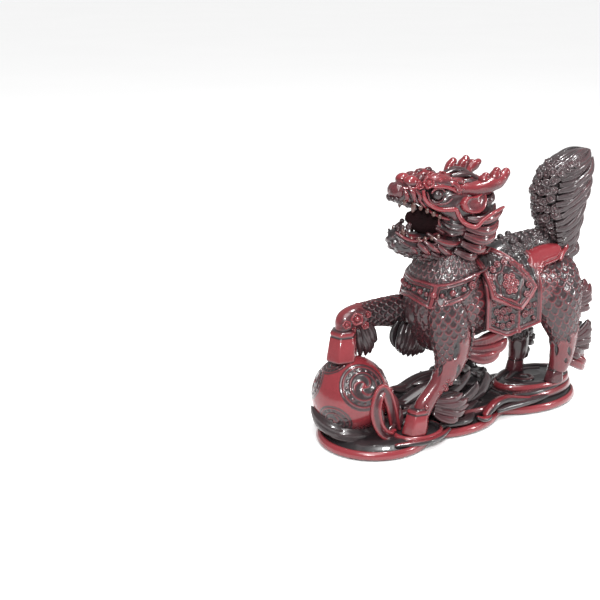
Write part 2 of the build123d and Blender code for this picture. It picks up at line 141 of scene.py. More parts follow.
# Plinth ------------------------------------------------------------------------------------------
# A cast resin slab in the outline of joined clouds, with a rolled red rim. Lower cloud tiers stand
# on it: one under the near forefoot, one in the middle and two at the rear. It is stained nearly
# black, and the rims are rubbed back to red.
MM = 0.001
RED = (0.118, 0.013, 0.017)
BRIGHT_RED = (0.152, 0.018, 0.023)
STAIN = (0.012, 0.010, 0.011)
BROWN_RED = (0.044, 0.011, 0.014)


def unit(vectors):
    """Each vector cut or stretched to length 1."""
    return vectors / np.maximum(np.linalg.norm(vectors, axis=-1, keepdims=True), 1e-9)


def ramp(values, low, high):
    """0 below low, 1 above high, and an S-shaped rise between."""
    t = np.clip((values - low) / (high - low), 0, 1)
    return t * t * (3 - 2 * t)


def spline(rows, count):
    """A smooth curve through rows of numbers: a cubic between each two, that leaves each row
    in the direction from the row before it to the row after it."""
    rows = np.asarray(rows, float)
    t = np.linspace(0, len(rows) - 1, count)
    start = np.clip(t.astype(int), 0, len(rows) - 2)
    f = (t - start)[:, None]
    padded = np.vstack((2 * rows[0] - rows[1], rows, 2 * rows[-1] - rows[-2]))
    a, b, c, d = (padded[start + k] for k in range(4))
    return b + 0.5 * f * (c - a + f * (2 * a - 5 * b + 4 * c - d + f * (3 * (b - c) + d - a)))


def ripple(points, size, seed):
    """A smooth wander between about -1 and 1: the mean of sine waves in seeded directions."""
    random = np.random.default_rng(seed)
    ways = unit(random.normal(size=(7, 3))) * random.uniform(0.7, 1.6, (7, 1))
    phases = random.uniform(0, 2 * np.pi, 7)
    return np.sin(points @ ways.T * (2 * np.pi / size) + phases).mean(axis=-1) * 2


def outward(grid):
    """The unit normals of a grid whose columns run round: across each row, then on to the next."""
    down = np.gradient(grid, axis=0)
    round_it = np.roll(grid, -1, axis=1) - np.roll(grid, 1, axis=1)
    return unit(np.cross(round_it, down))


class Casting:
    """One piece: surfaces in millimetres, each with how far the stain was rubbed off it (0 to 1), a value
    that in some places also carries painted light and shade.
    """

    def __init__(self):
        self.points, self.rubbed, self.faces, self.count = [], [], [], 0

    def _keep(self, points, rubbed, faces):
        """Stores one surface, with its faces renumbered to follow the points already stored."""
        self.points.append(points.reshape(-1, 3))
        self.rubbed.append(np.broadcast_to(rubbed, points.shape[:-1]).ravel())
        self.faces += [part + self.count for part in faces]
        self.count += len(self.points[-1])

    def add(self, grid, rubbed):
        """A closed surface: columns run round it, and a point in the middle closes each end."""
        rows, columns = grid.shape[:2]
        index = np.arange(rows * columns).reshape(rows, columns)
        following = np.roll(index, -1, axis=1)
        quads = np.stack((index[:-1], following[:-1], following[1:], index[1:]), -1).reshape(-1, 4)
        poles = [np.full(columns, rows * columns), np.full(columns, rows * columns + 1)]
        caps = [
            np.stack((poles[0], following[0], index[0]), -1),
            np.stack((poles[1], index[-1], following[-1]), -1),
        ]
        rubbed = np.broadcast_to(rubbed, grid.shape[:2])
        ends = grid[[0, -1]].mean(axis=1)
        self._keep(
            np.concatenate((grid.reshape(-1, 3), ends)),
            np.concatenate((rubbed.ravel(), rubbed[[0, -1]].mean(axis=1))),
            [quads, *caps],
        )

    def add_shell(self, outer, inner, rubbed):
        """A plate: an outer and an inner grid, joined all round their border."""
        rows, columns = outer.shape[:2]
        index = np.arange(rows * columns).reshape(rows, columns)
        quads = np.stack((index[:-1, :-1], index[:-1, 1:], index[1:, 1:], index[1:, :-1]), -1)
        quads = quads.reshape(-1, 4)
        border = np.concatenate((index[0, :-1], index[:-1, -1], index[-1, :0:-1], index[:0:-1, 0]))
        after = np.roll(border, -1)
        far = rows * columns
        edge = np.stack((after, border, border + far, after + far), -1)
        rubbed = np.broadcast_to(rubbed, outer.shape[:2])
        self._keep(
            np.concatenate((outer.reshape(-1, 3), inner.reshape(-1, 3))),
            np.concatenate((rubbed.ravel(), rubbed.ravel() * 0)),
            [quads, quads[:, ::-1] + far, edge],
        )

    def write(self, name, material, slot, *nodes):
        """Makes the mesh, in place in the frame, and hides the CAD parts of the nodes it stands for."""
        mesh = bpy.data.meshes.new(name)
        points = np.concatenate(self.points) * MM
        sizes = np.concatenate([np.full(len(part), part.shape[1]) for part in self.faces])
        corners = np.concatenate([part.ravel() for part in self.faces])
        mesh.vertices.add(len(points))
        mesh.vertices.foreach_set("co", points.astype(np.float32).ravel())
        mesh.loops.add(len(corners))
        mesh.loops.foreach_set("vertex_index", corners.astype(np.int32))
        mesh.polygons.add(len(sizes))
        mesh.polygons.foreach_set("loop_start", (np.cumsum(sizes) - sizes).astype(np.int32))
        mesh.polygons.foreach_set("use_smooth", np.ones(len(sizes), bool))
        rubbed = np.clip(np.concatenate(self.rubbed), 0, 1).astype(np.float32)
        mesh.attributes.new("rubbed", "FLOAT", "POINT").data.foreach_set("value", rubbed)
        mesh.update(calc_edges=True)
        mesh.materials.append(material)
        piece = bpy.data.objects.new(name, mesh)
        bpy.context.scene.collection.objects.link(piece)
        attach(piece, "root")
        if nodes:
            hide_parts(*nodes)
        return piece


def resin(name, stain=STAIN, brown=BROWN_RED, red=RED, bright=BRIGHT_RED, grime=0.35):
    """Lacquered resin: stain where the rubbing value is 0, brown and red above it, bright red on the
    highest parts; in some places that value also carries painted light and shade. Two sizes of noise make
    the rubbing uneven, and the clear coat has a faint ripple."""
    material, shader, paint = painted(
        name, Coat_Weight=0.45, Coat_Roughness=0.04, Coat_IOR=1.5, Specular_IOR_Level=0.3
    )
    place = paint.node("TexCoord", out="Object")
    rubbed = paint.node("Attribute", {"attribute_name": "rubbed"}, out="Fac")
    patches = paint.node("TexNoise", Vector=place, Scale=110.0, Detail=3.0)
    specks = paint.node("TexNoise", Vector=place, Scale=700.0, Detail=3.0)
    worn = rubbed + (patches - 0.5) * grime + (specks - 0.5) * (0.6 * grime)
    colours = ((0.04, stain), (0.38, brown), (0.72, red), (1.0, bright))
    swell = paint.node("TexNoise", Vector=place, Scale=380.0, Detail=2.0)
    give(
        shader,
        Base_Color=paint.node("ValToRGB", {"stops": colours}, Fac=worn),
        Roughness=0.28 - worn.between(0.0, 1.0) * 0.10 + specks * 0.08,
        Normal=paint.node("Bump", Strength=0.35, Distance=0.0004, Height=swell),
    )
    return material


def lobed_slab(lobes, profile, columns=360, reach=0.6, seed=1, swirl=0.0):
    """A slab in the outline of joined ellipses (x, y, half length, half width). Rays fan out from
    the slab's long middle line, and each finds the outline by halving. profile lists how far in
    from the outline the surface has come, its height and its rubbing; the rest of the top runs
    in to the middle. swirl is how high the ripples on the top stand."""
    lobes = np.asarray(lobes, float)
    centre = (lobes[:, :2].min(axis=0) + lobes[:, :2].max(axis=0)) / 2
    spread = np.abs(lobes[:, 0] - centre[0]).max() * reach + lobes[:, 2].min() * 0.3
    turn = np.linspace(0, 2 * np.pi, columns, endpoint=False)
    way = np.stack((np.cos(turn), np.sin(turn)), -1)
    foot = np.stack((centre[0] + spread * way[:, 0], np.full(columns, centre[1])), -1)

    def inside(place):
        """Above 0 inside the joined ellipses; the sum rounds the notches between them."""
        offset = (place[:, None] - lobes[:, :2]) / lobes[:, 2:]
        depth = (1 - np.linalg.norm(offset, axis=-1)) * 12
        return np.log(np.exp(depth).sum(axis=1))

    low, high = np.zeros(columns), np.full(columns, 130.0)
    for _ in range(22):
        middle = (low + high) / 2
        within = inside(foot + way * middle[:, None]) > 0
        low, high = np.where(within, middle, low), np.where(within, high, middle)
    profile = spline(profile, 5 * len(profile) - 4)
    steps = np.linspace(1, 0.02, 40)[1:]
    rows, rubbed = [], []
    for inset, height, wear in profile:
        reach_now = foot + way * (low - inset)[:, None]
        rows.append(np.column_stack((reach_now, np.full(columns, height))))
        rubbed.append(np.full(columns, wear))
    edge_in, top, wear = profile[-1]
    for step in steps:
        squeeze = ramp(step, 0, 0.3)
        place = centre + (foot - centre) * squeeze + way * ((low - edge_in) * step)[:, None]
        lift = ripple(np.column_stack((place, place[:, 0] * 0)), 26.0, seed)
        ridge = (1 - np.abs(lift)) ** 3
        height = top + swirl * (ridge + 0.5 * lift) * ramp(1 - step, 0, 0.15)
        rows.append(np.column_stack((place, height)))
        rubbed.append(wear + swirl * 0.14 * ridge)
    floor = [
        np.column_stack((centre + (r[:, :2] - centre) * s, r[:, 2])) for s in (0.05, 0.5) for r in rows[:1]
    ]
    return np.array(floor + rows), np.array([np.zeros(columns)] * 2 + rubbed)


def tier_profile(foot, top, wear=1.0):
    """A tier's rounded red lip, with a dark groove behind it."""
    high = top - foot
    return (
        (0.6, foot, 0.1), (0.1, foot + 0.35 * high, 0.45 * wear), (0.3, foot + 0.7 * high, wear),
        (1.3, top, wear), (2.3, top - 0.1, 0.5 * wear), (3.0, top - 0.9, 0.0),
        (4.2, top - 0.9, 0.0), (6.0, top - 0.3, 0.08),
    )


dark_resin = resin("dark_resin", brown=(0.032, 0.016, 0.018), red=(0.120, 0.016, 0.020), grime=0.3)
PLINTH_PROFILE = (
    (1.6, 0.3, 0.2), (0.3, 0.9, 0.7), (0.0, 2.4, 0.95), (0.5, 4.0, 1.0), (1.8, 5.2, 0.95),
    (3.2, 5.0, 0.4), (4.0, 4.2, 0.0), (5.5, 4.6, 0.0), (9.0, 6.2, 0.06), (13.0, 7.0, 0.08),
)
plinth = Casting()
plinth.add(*lobed_slab(
    ((-58, 0, 34.9, 32.8), (-8, -0.5, 37, 26), (56, 0.5, 36.8, 23.2)), PLINTH_PROFILE,
    columns=460, seed=3, swirl=0.9,
))
plinth.add(*lobed_slab(((-39, -17.5, 16.5, 12.0),), tier_profile(4.5, 8.0), seed=4, columns=160))
plinth.write("cloud_plinth", dark_resin, "dark_resin", "plinth")

middle = Casting()
middle.add(*lobed_slab(
    ((4, 0, 29, 19), (22, -9, 14, 9)), tier_profile(7.0, 11.5, 0.6), seed=5, swirl=1.2, columns=260,
))
middle.write("middle_cloud_tier", dark_resin, "dark_resin", "middle_cloud")

rear = Casting()
rear.add(*lobed_slab(((57, 0.5, 33.5, 18.5),), tier_profile(5.5, 11.0, 0.75), seed=6, columns=240))
rear.add(*lobed_slab(((61, 1.0, 28.5, 16.5),), tier_profile(10.0, 15.2), seed=7, swirl=0.5, columns=240))
rear.write("rear_cloud_tiers", dark_resin, "dark_resin", "rear_rock")


# Waves -------------------------------------------------------------------------------------------
# Carved waves and foam that rise from the plinth: a rock-like wave under the belly, long curling
# crests on the tiers, and a ring of foam that the ball sits in. Each is cast with the plinth's
# resin, stained nearly black, and only the crests are rubbed red.
def carried(stations, along, around, cap=0.6, outside=(0, 1, 0)):
    """Ellipses square to a smooth path. A station is (x, y, z, half width, half depth); the width
    lies towards `outside`. Both ends close in a dome that stands out by cap half depths."""
    line = spline(stations, along)
    centre, width, depth = line[:, :3], line[:, 3:4], line[:, 4:5]
    heading = unit(np.gradient(centre, axis=0))
    dome = np.linspace(0, np.pi / 2, 7)[1:-1, None]
    for end, order in ((0, slice(None, None, -1)), (-1, slice(None))):
        out = centre[end] + (-1 if end == 0 else 1) * heading[end] * cap * depth[end] * np.sin(dome)
        rows = (out, width[end] * np.cos(dome), depth[end] * np.cos(dome), heading[end] + 0 * out)
        rows = [row[order] for row in rows]
        pairs = zip(rows, (centre, width, depth, heading))
        joined = [(row, old) if end == 0 else (old, row) for row, old in pairs]
        centre, width, depth, heading = (np.vstack(pair) for pair in joined)
    outside = np.asarray(outside, float)
    side = unit(outside - heading * (heading @ outside)[:, None])
    up = np.cross(heading, side)
    turn = np.linspace(0, 2 * np.pi, around, endpoint=False)
    flat = side[:, None] * np.cos(turn)[:, None] * width[:, None]
    return centre[:, None] + flat + up[:, None] * np.sin(turn)[:, None] * depth[:, None]


def lock(path, width, depth, face, along=18, around=12, grooves=2, root=0.55, blunt=0.0):
    """A lock of hair, a flame or a wave crest. A lens-shaped section swells, then runs out to a
    point along a smooth path; its back faces `face`, and shallow grooves run its length.
    Returns its surface, and a rubbing that is highest along the back and towards the tip."""
    line = spline(path, along)
    u = np.linspace(0, 1, along)
    size = (root + 1.9 * u * (1 - 0.5 * u)) * (1 - u ** (2.2 + blunt)) ** 0.8 / 1.25 + 0.02
    heading = unit(np.gradient(line, axis=0))
    face = np.broadcast_to(np.asarray(face, float), line.shape)
    up = unit(face - heading * (heading * face).sum(axis=1, keepdims=True))
    side = np.cross(up, heading)
    turn = np.linspace(0, 2 * np.pi, around, endpoint=False)
    cosine, sine = np.cos(turn), np.sin(turn)
    groove = 0.5 + 0.5 * np.cos(np.pi * (grooves + 1) * cosine)
    thick = np.where(sine > 0, sine * (0.72 + 0.42 * groove), sine * 0.7)
    offset = side[:, None] * (cosine * width)[:, None] + up[:, None] * (thick * depth)[:, None]
    rubbed = np.clip(sine, 0, 1) ** 0.7 * (0.35 + 0.65 * groove)
    return line[:, None] + offset * size[:, None, None], rubbed * (0.45 + 0.55 * u[:, None])


WAVE_BODY = (
    (-40, 14, 9, 8, 4), (-26, 12, 13, 9.5, 6.5), (-8, 9, 18, 11, 9), (10, 6, 20, 10, 10), (24, 6, 15, 8, 7),
)
wave = Casting()
rock = carried(WAVE_BODY, 90, 90)
flow = ripple(rock * (1.0, 1.0, 1.6), 15.0, 11)
crease = (1 - np.abs(flow)) ** 2.5
rock = rock + outward(rock) * (2.2 * crease + 1.4 * ripple(rock, 9.0, 12))[..., None]
rock[..., 2] = np.maximum(rock[..., 2], 7.6)
wave.add(rock, 0.22 * crease ** 2)
WAVE_CRESTS = (  # path, half width, height of the crest, face
    (((-48, 8, 10), (-38, 4, 14), (-28, 3, 19), (-20, 1, 24), (-16, -2, 27)), 4.5, 3.0, (-0.3, -0.6, 1)),
    (((-40, 18, 12), (-30, 14, 19), (-20, 10, 25), (-9, 6, 28), (-2, 2, 30)), 5.0, 3.2, (0, -0.5, 1)),
    (((-22, 2, 12), (-12, -4, 17), (-3, -6, 23), (3, -6, 28), (5, -7, 32)), 4.5, 2.8, (0, -1, 0.4)),
    (((-10, -6, 10), (-1, -10, 15), (6, -11, 21), (8, -11, 26)), 4.2, 2.6, (0, -1, 0.3)),
    (((2, -8, 11), (12, -9, 17), (18, -7, 24), (17, -7, 29)), 4.2, 2.6, (0, -1, 0.3)),
    (((28, 2, 12), (20, 2, 20), (14, 0, 26), (8, -2, 29)), 4.6, 3.0, (0.2, -0.6, 1)),
    (((30, 12, 12), (20, 14, 19), (8, 14, 25), (-2, 13, 29)), 4.6, 3.0, (0, 0.5, 1)),
    (((-36, 24, 9), (-24, 21, 13), (-12, 19, 18), (-3, 18, 22)), 4.5, 3.0, (0, 1, 0.6)),
    (((14, 20, 9), (4, 20, 14), (-4, 19, 18), (-12, 19, 20)), 4.2, 2.8, (0, 1, 0.6)),
    (((-14, 6, 12), (-24, 4, 15), (-34, 3, 15), (-43, 3, 17.5)), 4.6, 3.0, (0, -0.8, 1)),
    (((-12, 0, 12), (-22, -2, 13.5), (-31, -3, 13), (-39, -2, 15)), 4.2, 2.8, (0, -0.9, 0.8)),
    (((-10, 14, 17), (-20, 13, 20), (-31, 12, 20), (-41, 12, 22.5)), 4.8, 3.0, (0, -0.5, 1)),
    (((-16, 20, 14), (-28, 20, 16), (-38, 20, 15.5), (-47, 18, 18)), 4.4, 2.8, (0, 0.5, 1)),
    (((0, 10, 22), (-9, 6, 25), (-19, 5, 25.5), (-28, 7, 24)), 4.6, 2.8, (0, -0.7, 1)),
    (((6, 0, 20), (0, -5, 25), (-8, -6, 28), (-15, -4, 29.5)), 4.2, 2.6, (0, -1, 0.6)),
    (((14, 4, 22), (9, 0, 28), (2, -2, 32), (-4, -1, 34)), 4.0, 2.6, (0, -1, 0.5)),
)
for path, width, height, face in WAVE_CRESTS:
    crest, worn = lock(path, width, height, face, along=26, around=20, grooves=2)
    wave.add(crest, 0.55 * worn)
wave.write("belly_wave", dark_resin, "dark_resin", "wave_crest")


def ridge(path, radius, along=40, around=10, outside=(0, 0, 1), rise=0.75, narrow=-0.4):
    """A rounded ridge of even size that lies along a path and thins out at both ends. rise is its
    height as a share of its half width, and narrow is where across it the rubbing starts."""
    path = np.asarray(path, float)
    thin = np.sin(np.linspace(0.16, 1 - 0.1, len(path)) * np.pi) ** 0.45
    sizes = np.column_stack((thin * radius * rise, thin * radius))
    grid = carried(np.hstack((path, sizes)), along, around, outside=outside)
    away = np.cos(np.linspace(0, 2 * np.pi, around, endpoint=False))
    return grid, np.broadcast_to(ramp(away, narrow, 0.9), grid.shape[:2])


CREST_LINES = (  # path over the tiers, half width, rubbed
    (((8, -21, 7.5), (12, -20, 10.5), (18, -18.5, 12.6), (26, -17, 12.6), (35, -17, 10.6), (46, -17, 8.5)),
     3.4, 0.9),
    (((18, -20, 8), (27, -19, 8.2), (38, -18.5, 8), (52, -17.5, 7.8), (66, -14, 7.8)), 3.0, 0.35),
    (((36, -13, 11.5), (48, -14.4, 11.2), (60, -14, 11.2), (72, -11.5, 11.2), (82, -6, 11.2)), 2.6, 0.45),
    (((1, -22.5, 8.0), (4, -23.5, 6.6), (8.5, -23, 6.4), (11.5, -20.5, 7.6)), 2.2, 1.0),
    (((-24, -20, 7.4), (-14, -21.5, 7.8), (-6, -21, 7.4), (0, -17, 8.4), (2, -12, 10.6)), 3.2, 0.3),
    (((-20, -13, 8.4), (-10, -14, 9.4), (0, -13, 10.4), (9, -10, 11.6)), 3.4, 0.3),
    (((-60, -27, 5.8), (-50, -29.5, 6.0), (-40, -30.8, 6.0), (-30, -28.5, 6.0), (-21, -24, 6.4)), 2.2, 0.7),
    (((38, 7, 14.6), (48, 12.5, 14.6), (60, 14.5, 14.6), (74, 12, 14.6), (84, 5, 14.6)), 2.4, 0.3),
    (((42, 3, 14.8), (52, 8.5, 14.8), (62, 10, 14.8), (73, 7.5, 14.8)), 2.0, 0.35),
    (((37, -2, 14.6), (45, -8, 14.6), (54, -11.5, 14.6), (60, -12, 14.6)), 2.2, 0.3),
    (((47, 1, 15.0), (51, -4.5, 15.0), (57, -4.5, 15.0), (58.5, 0.5, 15.0), (54, 3.2, 15.0)), 1.7, 0.45),
    (((74, -11, 11.6), (83, -5, 12.6), (88, 2, 12.6), (85, 9, 11.6)), 2.6, 0.4),
    (((-8, 19, 8), (2, 21.5, 9), (14, 20, 9.6), (24, 16, 9.6)), 3.2, 0.3),
    (((24, 19, 8), (36, 20, 8.6), (50, 20, 8.6), (64, 18, 8)), 3.0, 0.3),
    (((-56, 26, 6.6), (-44, 27, 7.4), (-32, 24, 8.4), (-22, 19, 9.4)), 3.0, 0.35),
    (((-48, -3, 7.8), (-40, -8, 8.4), (-32, -10, 9.4), (-24, -8, 11)), 3.0, 0.4),
    (((-50, 2, 7.8), (-44, -2, 10.4), (-38, -4, 12.4), (-32, -4, 13)), 2.8, 0.45),
)
foam_lines = Casting()
for path, radius, bared in CREST_LINES:
    line, worn = ridge(path, radius, along=60, around=20, narrow=0.35)
    foam_lines.add(line, 0.03 + bared * worn)
foam_lines.write("cloud_crest_lines", dark_resin, "dark_resin")

BALL = np.array((-70.0, 8.0, 26.6))
BALL_RADIUS = 23.4
cradle = Casting()
CRADLE_FLAMES = (  # start and end angle round the ball, start and end height, half width, how far out
    (-62, -138, 7.0, 8.0, 4.2, 3.4), (-80, -170, 7.4, 11.0, 4.8, 3.4), (-104, -200, 8.0, 20.5, 5.0, 0.8),
    (-96, -184, 6.4, 11.0, 3.6, 3.0), (-140, -206, 10.0, 17.0, 4.2, 0.6), (-165, -226, 9.0, 14.0, 4.0, 0.6),
    (-205, -262, 8.5, 12.0, 3.6, 0.6), (-40, -96, 7.0, 7.6, 3.4, 2.4), (-20, -66, 7.5, 9.0, 3.4, 0.8),
    (-236, -285, 8.0, 10.5, 3.2, 0.8),
)
for start, end, low, high, width, out in CRADLE_FLAMES:
    share = np.linspace(0, 1, 7)
    angle = np.radians(start + (end - start) * share)
    height = low + (high - low) * share ** 1.5
    gap = np.sqrt(np.maximum(BALL_RADIUS ** 2 - (BALL[2] - height) ** 2, 0)) + out
    around_ball = np.stack((np.cos(angle) * gap, np.sin(angle) * gap), -1)
    path = np.column_stack((BALL[:2] + around_ball, height))
    face = np.column_stack((around_ball / gap[:, None], 0.5 + 0 * height))
    face = spline(face, 34)
    flame, worn = lock(path, width, 2.8, face, along=34, around=22, grooves=2, root=0.9)
    flame = np.clip(flame, (-94.3, -34, 4.4), (94, 33.6, 160))
    cradle.add(flame, 0.4 * worn)
cradle.write("ball_foam_ring", dark_resin, "dark_resin", "ball_cradle")


# Ball --------------------------------------------------------------------------------------------
# The ball under the raised forefoot is cast solid in red resin. Raised discs of rings, dots
# and scrolls stand on it, and a ribbon is looped beside it. A steel pin holds the ball down.
red_resin = resin("red_resin")


def medallion(distance, angle, size):
    """Relief of one disc, by distance from its middle and angle round it: a sunk edge, a rim, a
    dotted band, a second rim and a scroll whose arm winds out from the middle."""
    r = distance / size
    rims = np.exp(-((r - 0.93) / 0.055) ** 2) + 0.9 * np.exp(-((r - 0.62) / 0.05) ** 2)
    dots = np.exp(-((r - 0.775) / 0.06) ** 2) * (0.5 + 0.5 * np.cos(16 * angle)) ** 2
    arms = (0.5 + 0.5 * np.cos(3 * angle - 14 * r)) ** 2 * ramp(0.55 - r, 0, 0.1)
    boss = ramp(0.16 - r, 0, 0.1)
    floor = -0.9 * ramp(1.06 - r, 0, 0.1)
    relief = floor + np.clip(rims + 0.8 * dots + 0.9 * arms + boss, 0, 1.25)
    return np.where(r < 1.15, relief, 0), (r < 1.0) * ramp(relief, -0.8, 0.25)


MEDALLIONS = (  # direction from the ball's middle, radius on its surface
    ((-0.10, -0.83, 0.55), 13.6), ((-0.76, -0.51, -0.40), 10.0), ((-0.43, 0.10, 0.90), 8.4),
    ((-0.85, 0.36, 0.37), 9.5), ((0.80, -0.20, 0.56), 9.0), ((0.20, 0.97, 0.10), 9.5),
    ((0.90, 0.40, -0.15), 9.0), ((-0.45, 0.60, -0.66), 8.0),
)
tilt = np.linspace(0.012, np.pi - 0.012, 280)[:, None]
turn = np.linspace(0, 2 * np.pi, 340, endpoint=False)[None]
globe = np.stack(np.broadcast_arrays(
    np.sin(tilt) * np.cos(turn), np.sin(tilt) * np.sin(turn), -np.cos(tilt) + 0 * turn
), -1)
relief = np.zeros(globe.shape[:2])
worn = np.full(globe.shape[:2], 0.86)
for heading, size in MEDALLIONS:
    heading = unit(np.array(heading))
    across = unit(np.cross(heading, (0.1, 0.2, 1)))
    over = np.cross(heading, across)
    reach = np.arccos(np.clip(globe @ heading, -1, 1)) * BALL_RADIUS
    disc, bared = medallion(reach, np.arctan2(globe @ over, globe @ across), size)
    within = reach < size
    relief = relief + disc
    worn = np.where(within, 0.08 + 0.62 * bared, np.where(reach < size * 1.1, 0.2, worn))
# The lower half of the ball is rubbed less, so it comes out darker: painted shade under the ball.
worn = worn * (0.35 + 0.65 * ramp(globe[..., 2], -0.85, -0.1))
ball = Casting()
ball.add(BALL + globe * (BALL_RADIUS - 0.35 + 0.45 * relief)[..., None], worn)
ball.write("medallion_ball", red_resin, "relief_resin", "ball")


def ribbon(path, width, thick, sideways, along=120, around=24):
    """A flat band with a groove along its middle: a section of width by thick, carried along a path
    with its flat side towards `sideways`."""
    line = spline(path, along)
    heading = unit(np.gradient(line, axis=0))
    flat = np.broadcast_to(np.asarray(sideways, float), line.shape)
    flat = unit(flat - heading * (heading * flat).sum(axis=1, keepdims=True))
    edge = np.cross(flat, heading)
    turn = np.linspace(0, 2 * np.pi, around, endpoint=False)
    cosine, sine = np.cos(turn), np.sin(turn)
    across = np.sign(cosine) * np.abs(cosine) ** 0.6 * width
    groove = 1 - 0.55 * np.exp(-(cosine / 0.35) ** 2)
    out = np.sign(sine) * np.abs(sine) ** 0.6 * thick * groove
    grid = line[:, None] + edge[:, None] * across[:, None] + flat[:, None] * out[:, None]
    return grid, np.broadcast_to(ramp(np.abs(across) / width, 0.15, 0.8), grid.shape[:2])


RIBBON_LOOP = (
    (-51.0, -12.5, 8.0), (-53.0, -13.4, 14), (-55.0, -14.2, 21), (-57.2, -14.6, 28), (-59.6, -14.4, 34),
    (-62.0, -14.0, 36.0), (-65.2, -14.6, 32.5), (-67.2, -15.6, 26), (-66.6, -16.8, 18),
    (-63.4, -17.6, 11.2), (-58.4, -17.6, 7.6), (-54.0, -15.6, 7.2),
)
loop = Casting()
grid, worn = ribbon(RIBBON_LOOP, 3.2, 2.0, (-0.45, -0.9, 0.12), along=150, around=30)
loop.add(grid, 0.25 + 0.7 * worn)
for path, width, bared in (
    (((-60.5, -14.4, 10), (-62.0, -14.8, 17), (-63.6, -14.6, 24), (-64.8, -14.0, 31)), 1.7, 0.45),
    (((-57, -14, 8), (-53, -13, 12), (-50, -10.5, 18), (-49, -8, 24), (-50.5, -5, 29)), 2.8, 0.8),
    (((-56, -12.5, 8), (-50, -12, 9.5), (-46, -9.5, 13), (-44, -6, 18)), 2.6, 0.5),
    (((-54, -10, 17), (-51.5, -9, 23), (-53, -8, 28), (-57, -8.5, 30.5)), 2.2, 0.6),
    (((-58, -12, 26), (-54, -10.5, 31), (-54, -9, 34.5)), 2.0, 0.7),
):
    strand, worn = lock(path, width, 1.8, (-0.2, -1, 0.2), along=26, around=18)
    loop.add(strand, 0.1 + bared * worn)
loop.write("ball_ribbon_loop", red_resin, "red_resin", "ball_ribbon")


# Torso and neck ----------------------------------------------------------------------------------
# The trunk and the neck are two castings, glued over a steel dowel. Rows of overlapping scales are
# carved all round them, with smooth plates across the belly.
def scales(rows, count, reach=1.25):
    """Overlapping scales. rows rises by 1 from each row to the next one down the body, and count by
    1 from each scale to its neighbour; every other row is half a scale over. A scale ends in half
    an ellipse that reaches `reach` rows down, and each row lies on the one below it. Returns the
    height and the rubbing, both 0 to 1: a raised rim, a groove inside it, and a low middle."""
    first = np.floor(rows)
    height = np.zeros(rows.shape)
    bared = np.zeros(rows.shape)
    free = np.ones(rows.shape, bool)
    for row in (first - 1, first, first + 1):
        across = (count + 0.5 * (row % 2) + 0.5) % 1 - 0.5
        far = np.hypot(np.maximum(rows - row, 0) / reach, 2 * across)
        shown = free & (far < 1)
        tilt = np.clip((rows - row + 1) / (reach + 1), 0, 1)
        rim = np.exp(-((far - 0.8) / 0.13) ** 2)
        middle = np.exp(-(far / 0.42) ** 2)
        fall = 1 - ramp(far, 0.88, 1.0)
        height = np.where(shown, (0.3 * tilt + 0.6 * rim + 0.3 * middle * tilt) * fall, height)
        bared = np.where(shown, (rim + 0.35 * middle * tilt) * (1 - ramp(far, 0.9, 1.0)), bared)
        free &= ~shown
    return height, bared


def travelled(grid, pitch):
    """How many pitches each row of a grid lies along it."""
    middle = grid.mean(axis=1)
    steps = np.linalg.norm(np.diff(middle, axis=0), axis=1)
    return np.broadcast_to((np.append(0, np.cumsum(steps)) / pitch)[:, None], grid.shape[:2])


def turned(grid):
    """The angle of each column of a grid, 0 to 2 pi."""
    columns = grid.shape[1]
    return np.broadcast_to(np.arange(columns) * (2 * np.pi / columns), grid.shape[:2])


def scaled(grid, pitch, count, rise, smooth=0.0):
    """A grid with scales raised on it, and their rubbing. Where smooth is 1 there are none."""
    height, bared = scales(travelled(grid, pitch), turned(grid) * count / (2 * np.pi))
    lift = (height * (1 - smooth) - 0.4) * rise
    return grid + outward(grid) * lift[..., None], bared * (1 - smooth)


body_resin = resin("body_resin", brown=(0.043, 0.013, 0.016), red=(0.110, 0.016, 0.020), grime=0.32)
TORSO = (  # (x, 0, z, half width, half height)
    (-33, 0, 72, 6, 8), (-28, 0, 72, 14, 16), (-15, 0, 74, 21, 24), (0, 0, 77, 21.5, 24.5),
    (22, 0, 78.5, 20, 23), (45, 0, 78, 19.5, 22.5), (64, 0, 77, 19, 20), (77, 0, 76, 13, 14),
    (83, 0, 76, 6, 6),
)
torso = Casting()
trunk = carried(TORSO, 220, 250)
underneath = ramp(-np.sin(turned(trunk)), 0.72, 0.88) * ramp(trunk[..., 0], -20, -6)
underneath = np.maximum(underneath, ramp(-trunk[..., 0], 34, 36))
plates = 0.5 + 0.5 * np.cos(trunk[..., 0] * (2 * np.pi / 6.5))
trunk_scaled, worn = scaled(trunk, 3.3, 26, 0.95, smooth=underneath)
trunk_scaled = trunk_scaled + outward(trunk) * (underneath * 0.8 * plates ** 0.5)[..., None]
# Lower down and towards the chest the trunk is rubbed less, as painted shade, and its top is redder, as
# painted light from above.
painted_top_light = ramp(trunk[..., 2], 52, 82) * (0.45 + 0.55 * ramp(trunk[..., 0], -34, -14))
torso.add(trunk_scaled, 0.05 + 0.14 * painted_top_light + worn * (0.2 + 0.55 * painted_top_light) + 0.12 * underneath * plates)
CHEST = (  # the breast, from the collar down
    (-13, 0, 97, 13, 11), (-16, 0, 87, 19, 17), (-17.6, 0, 74, 20.8, 18.9), (-15.8, 0, 61.5, 17.8, 15.8),
    (-11.5, 0, 53, 11, 10), (-9.5, 0, 49.5, 5, 5),
)
breast = carried(CHEST, 150, 180)
breast_scaled, worn = scaled(breast, 3.3, 30, 0.95)
torso.add(breast_scaled, 0.1 + worn * 0.42)
torso.write("scaled_torso", body_resin, "scaled_resin", "torso")

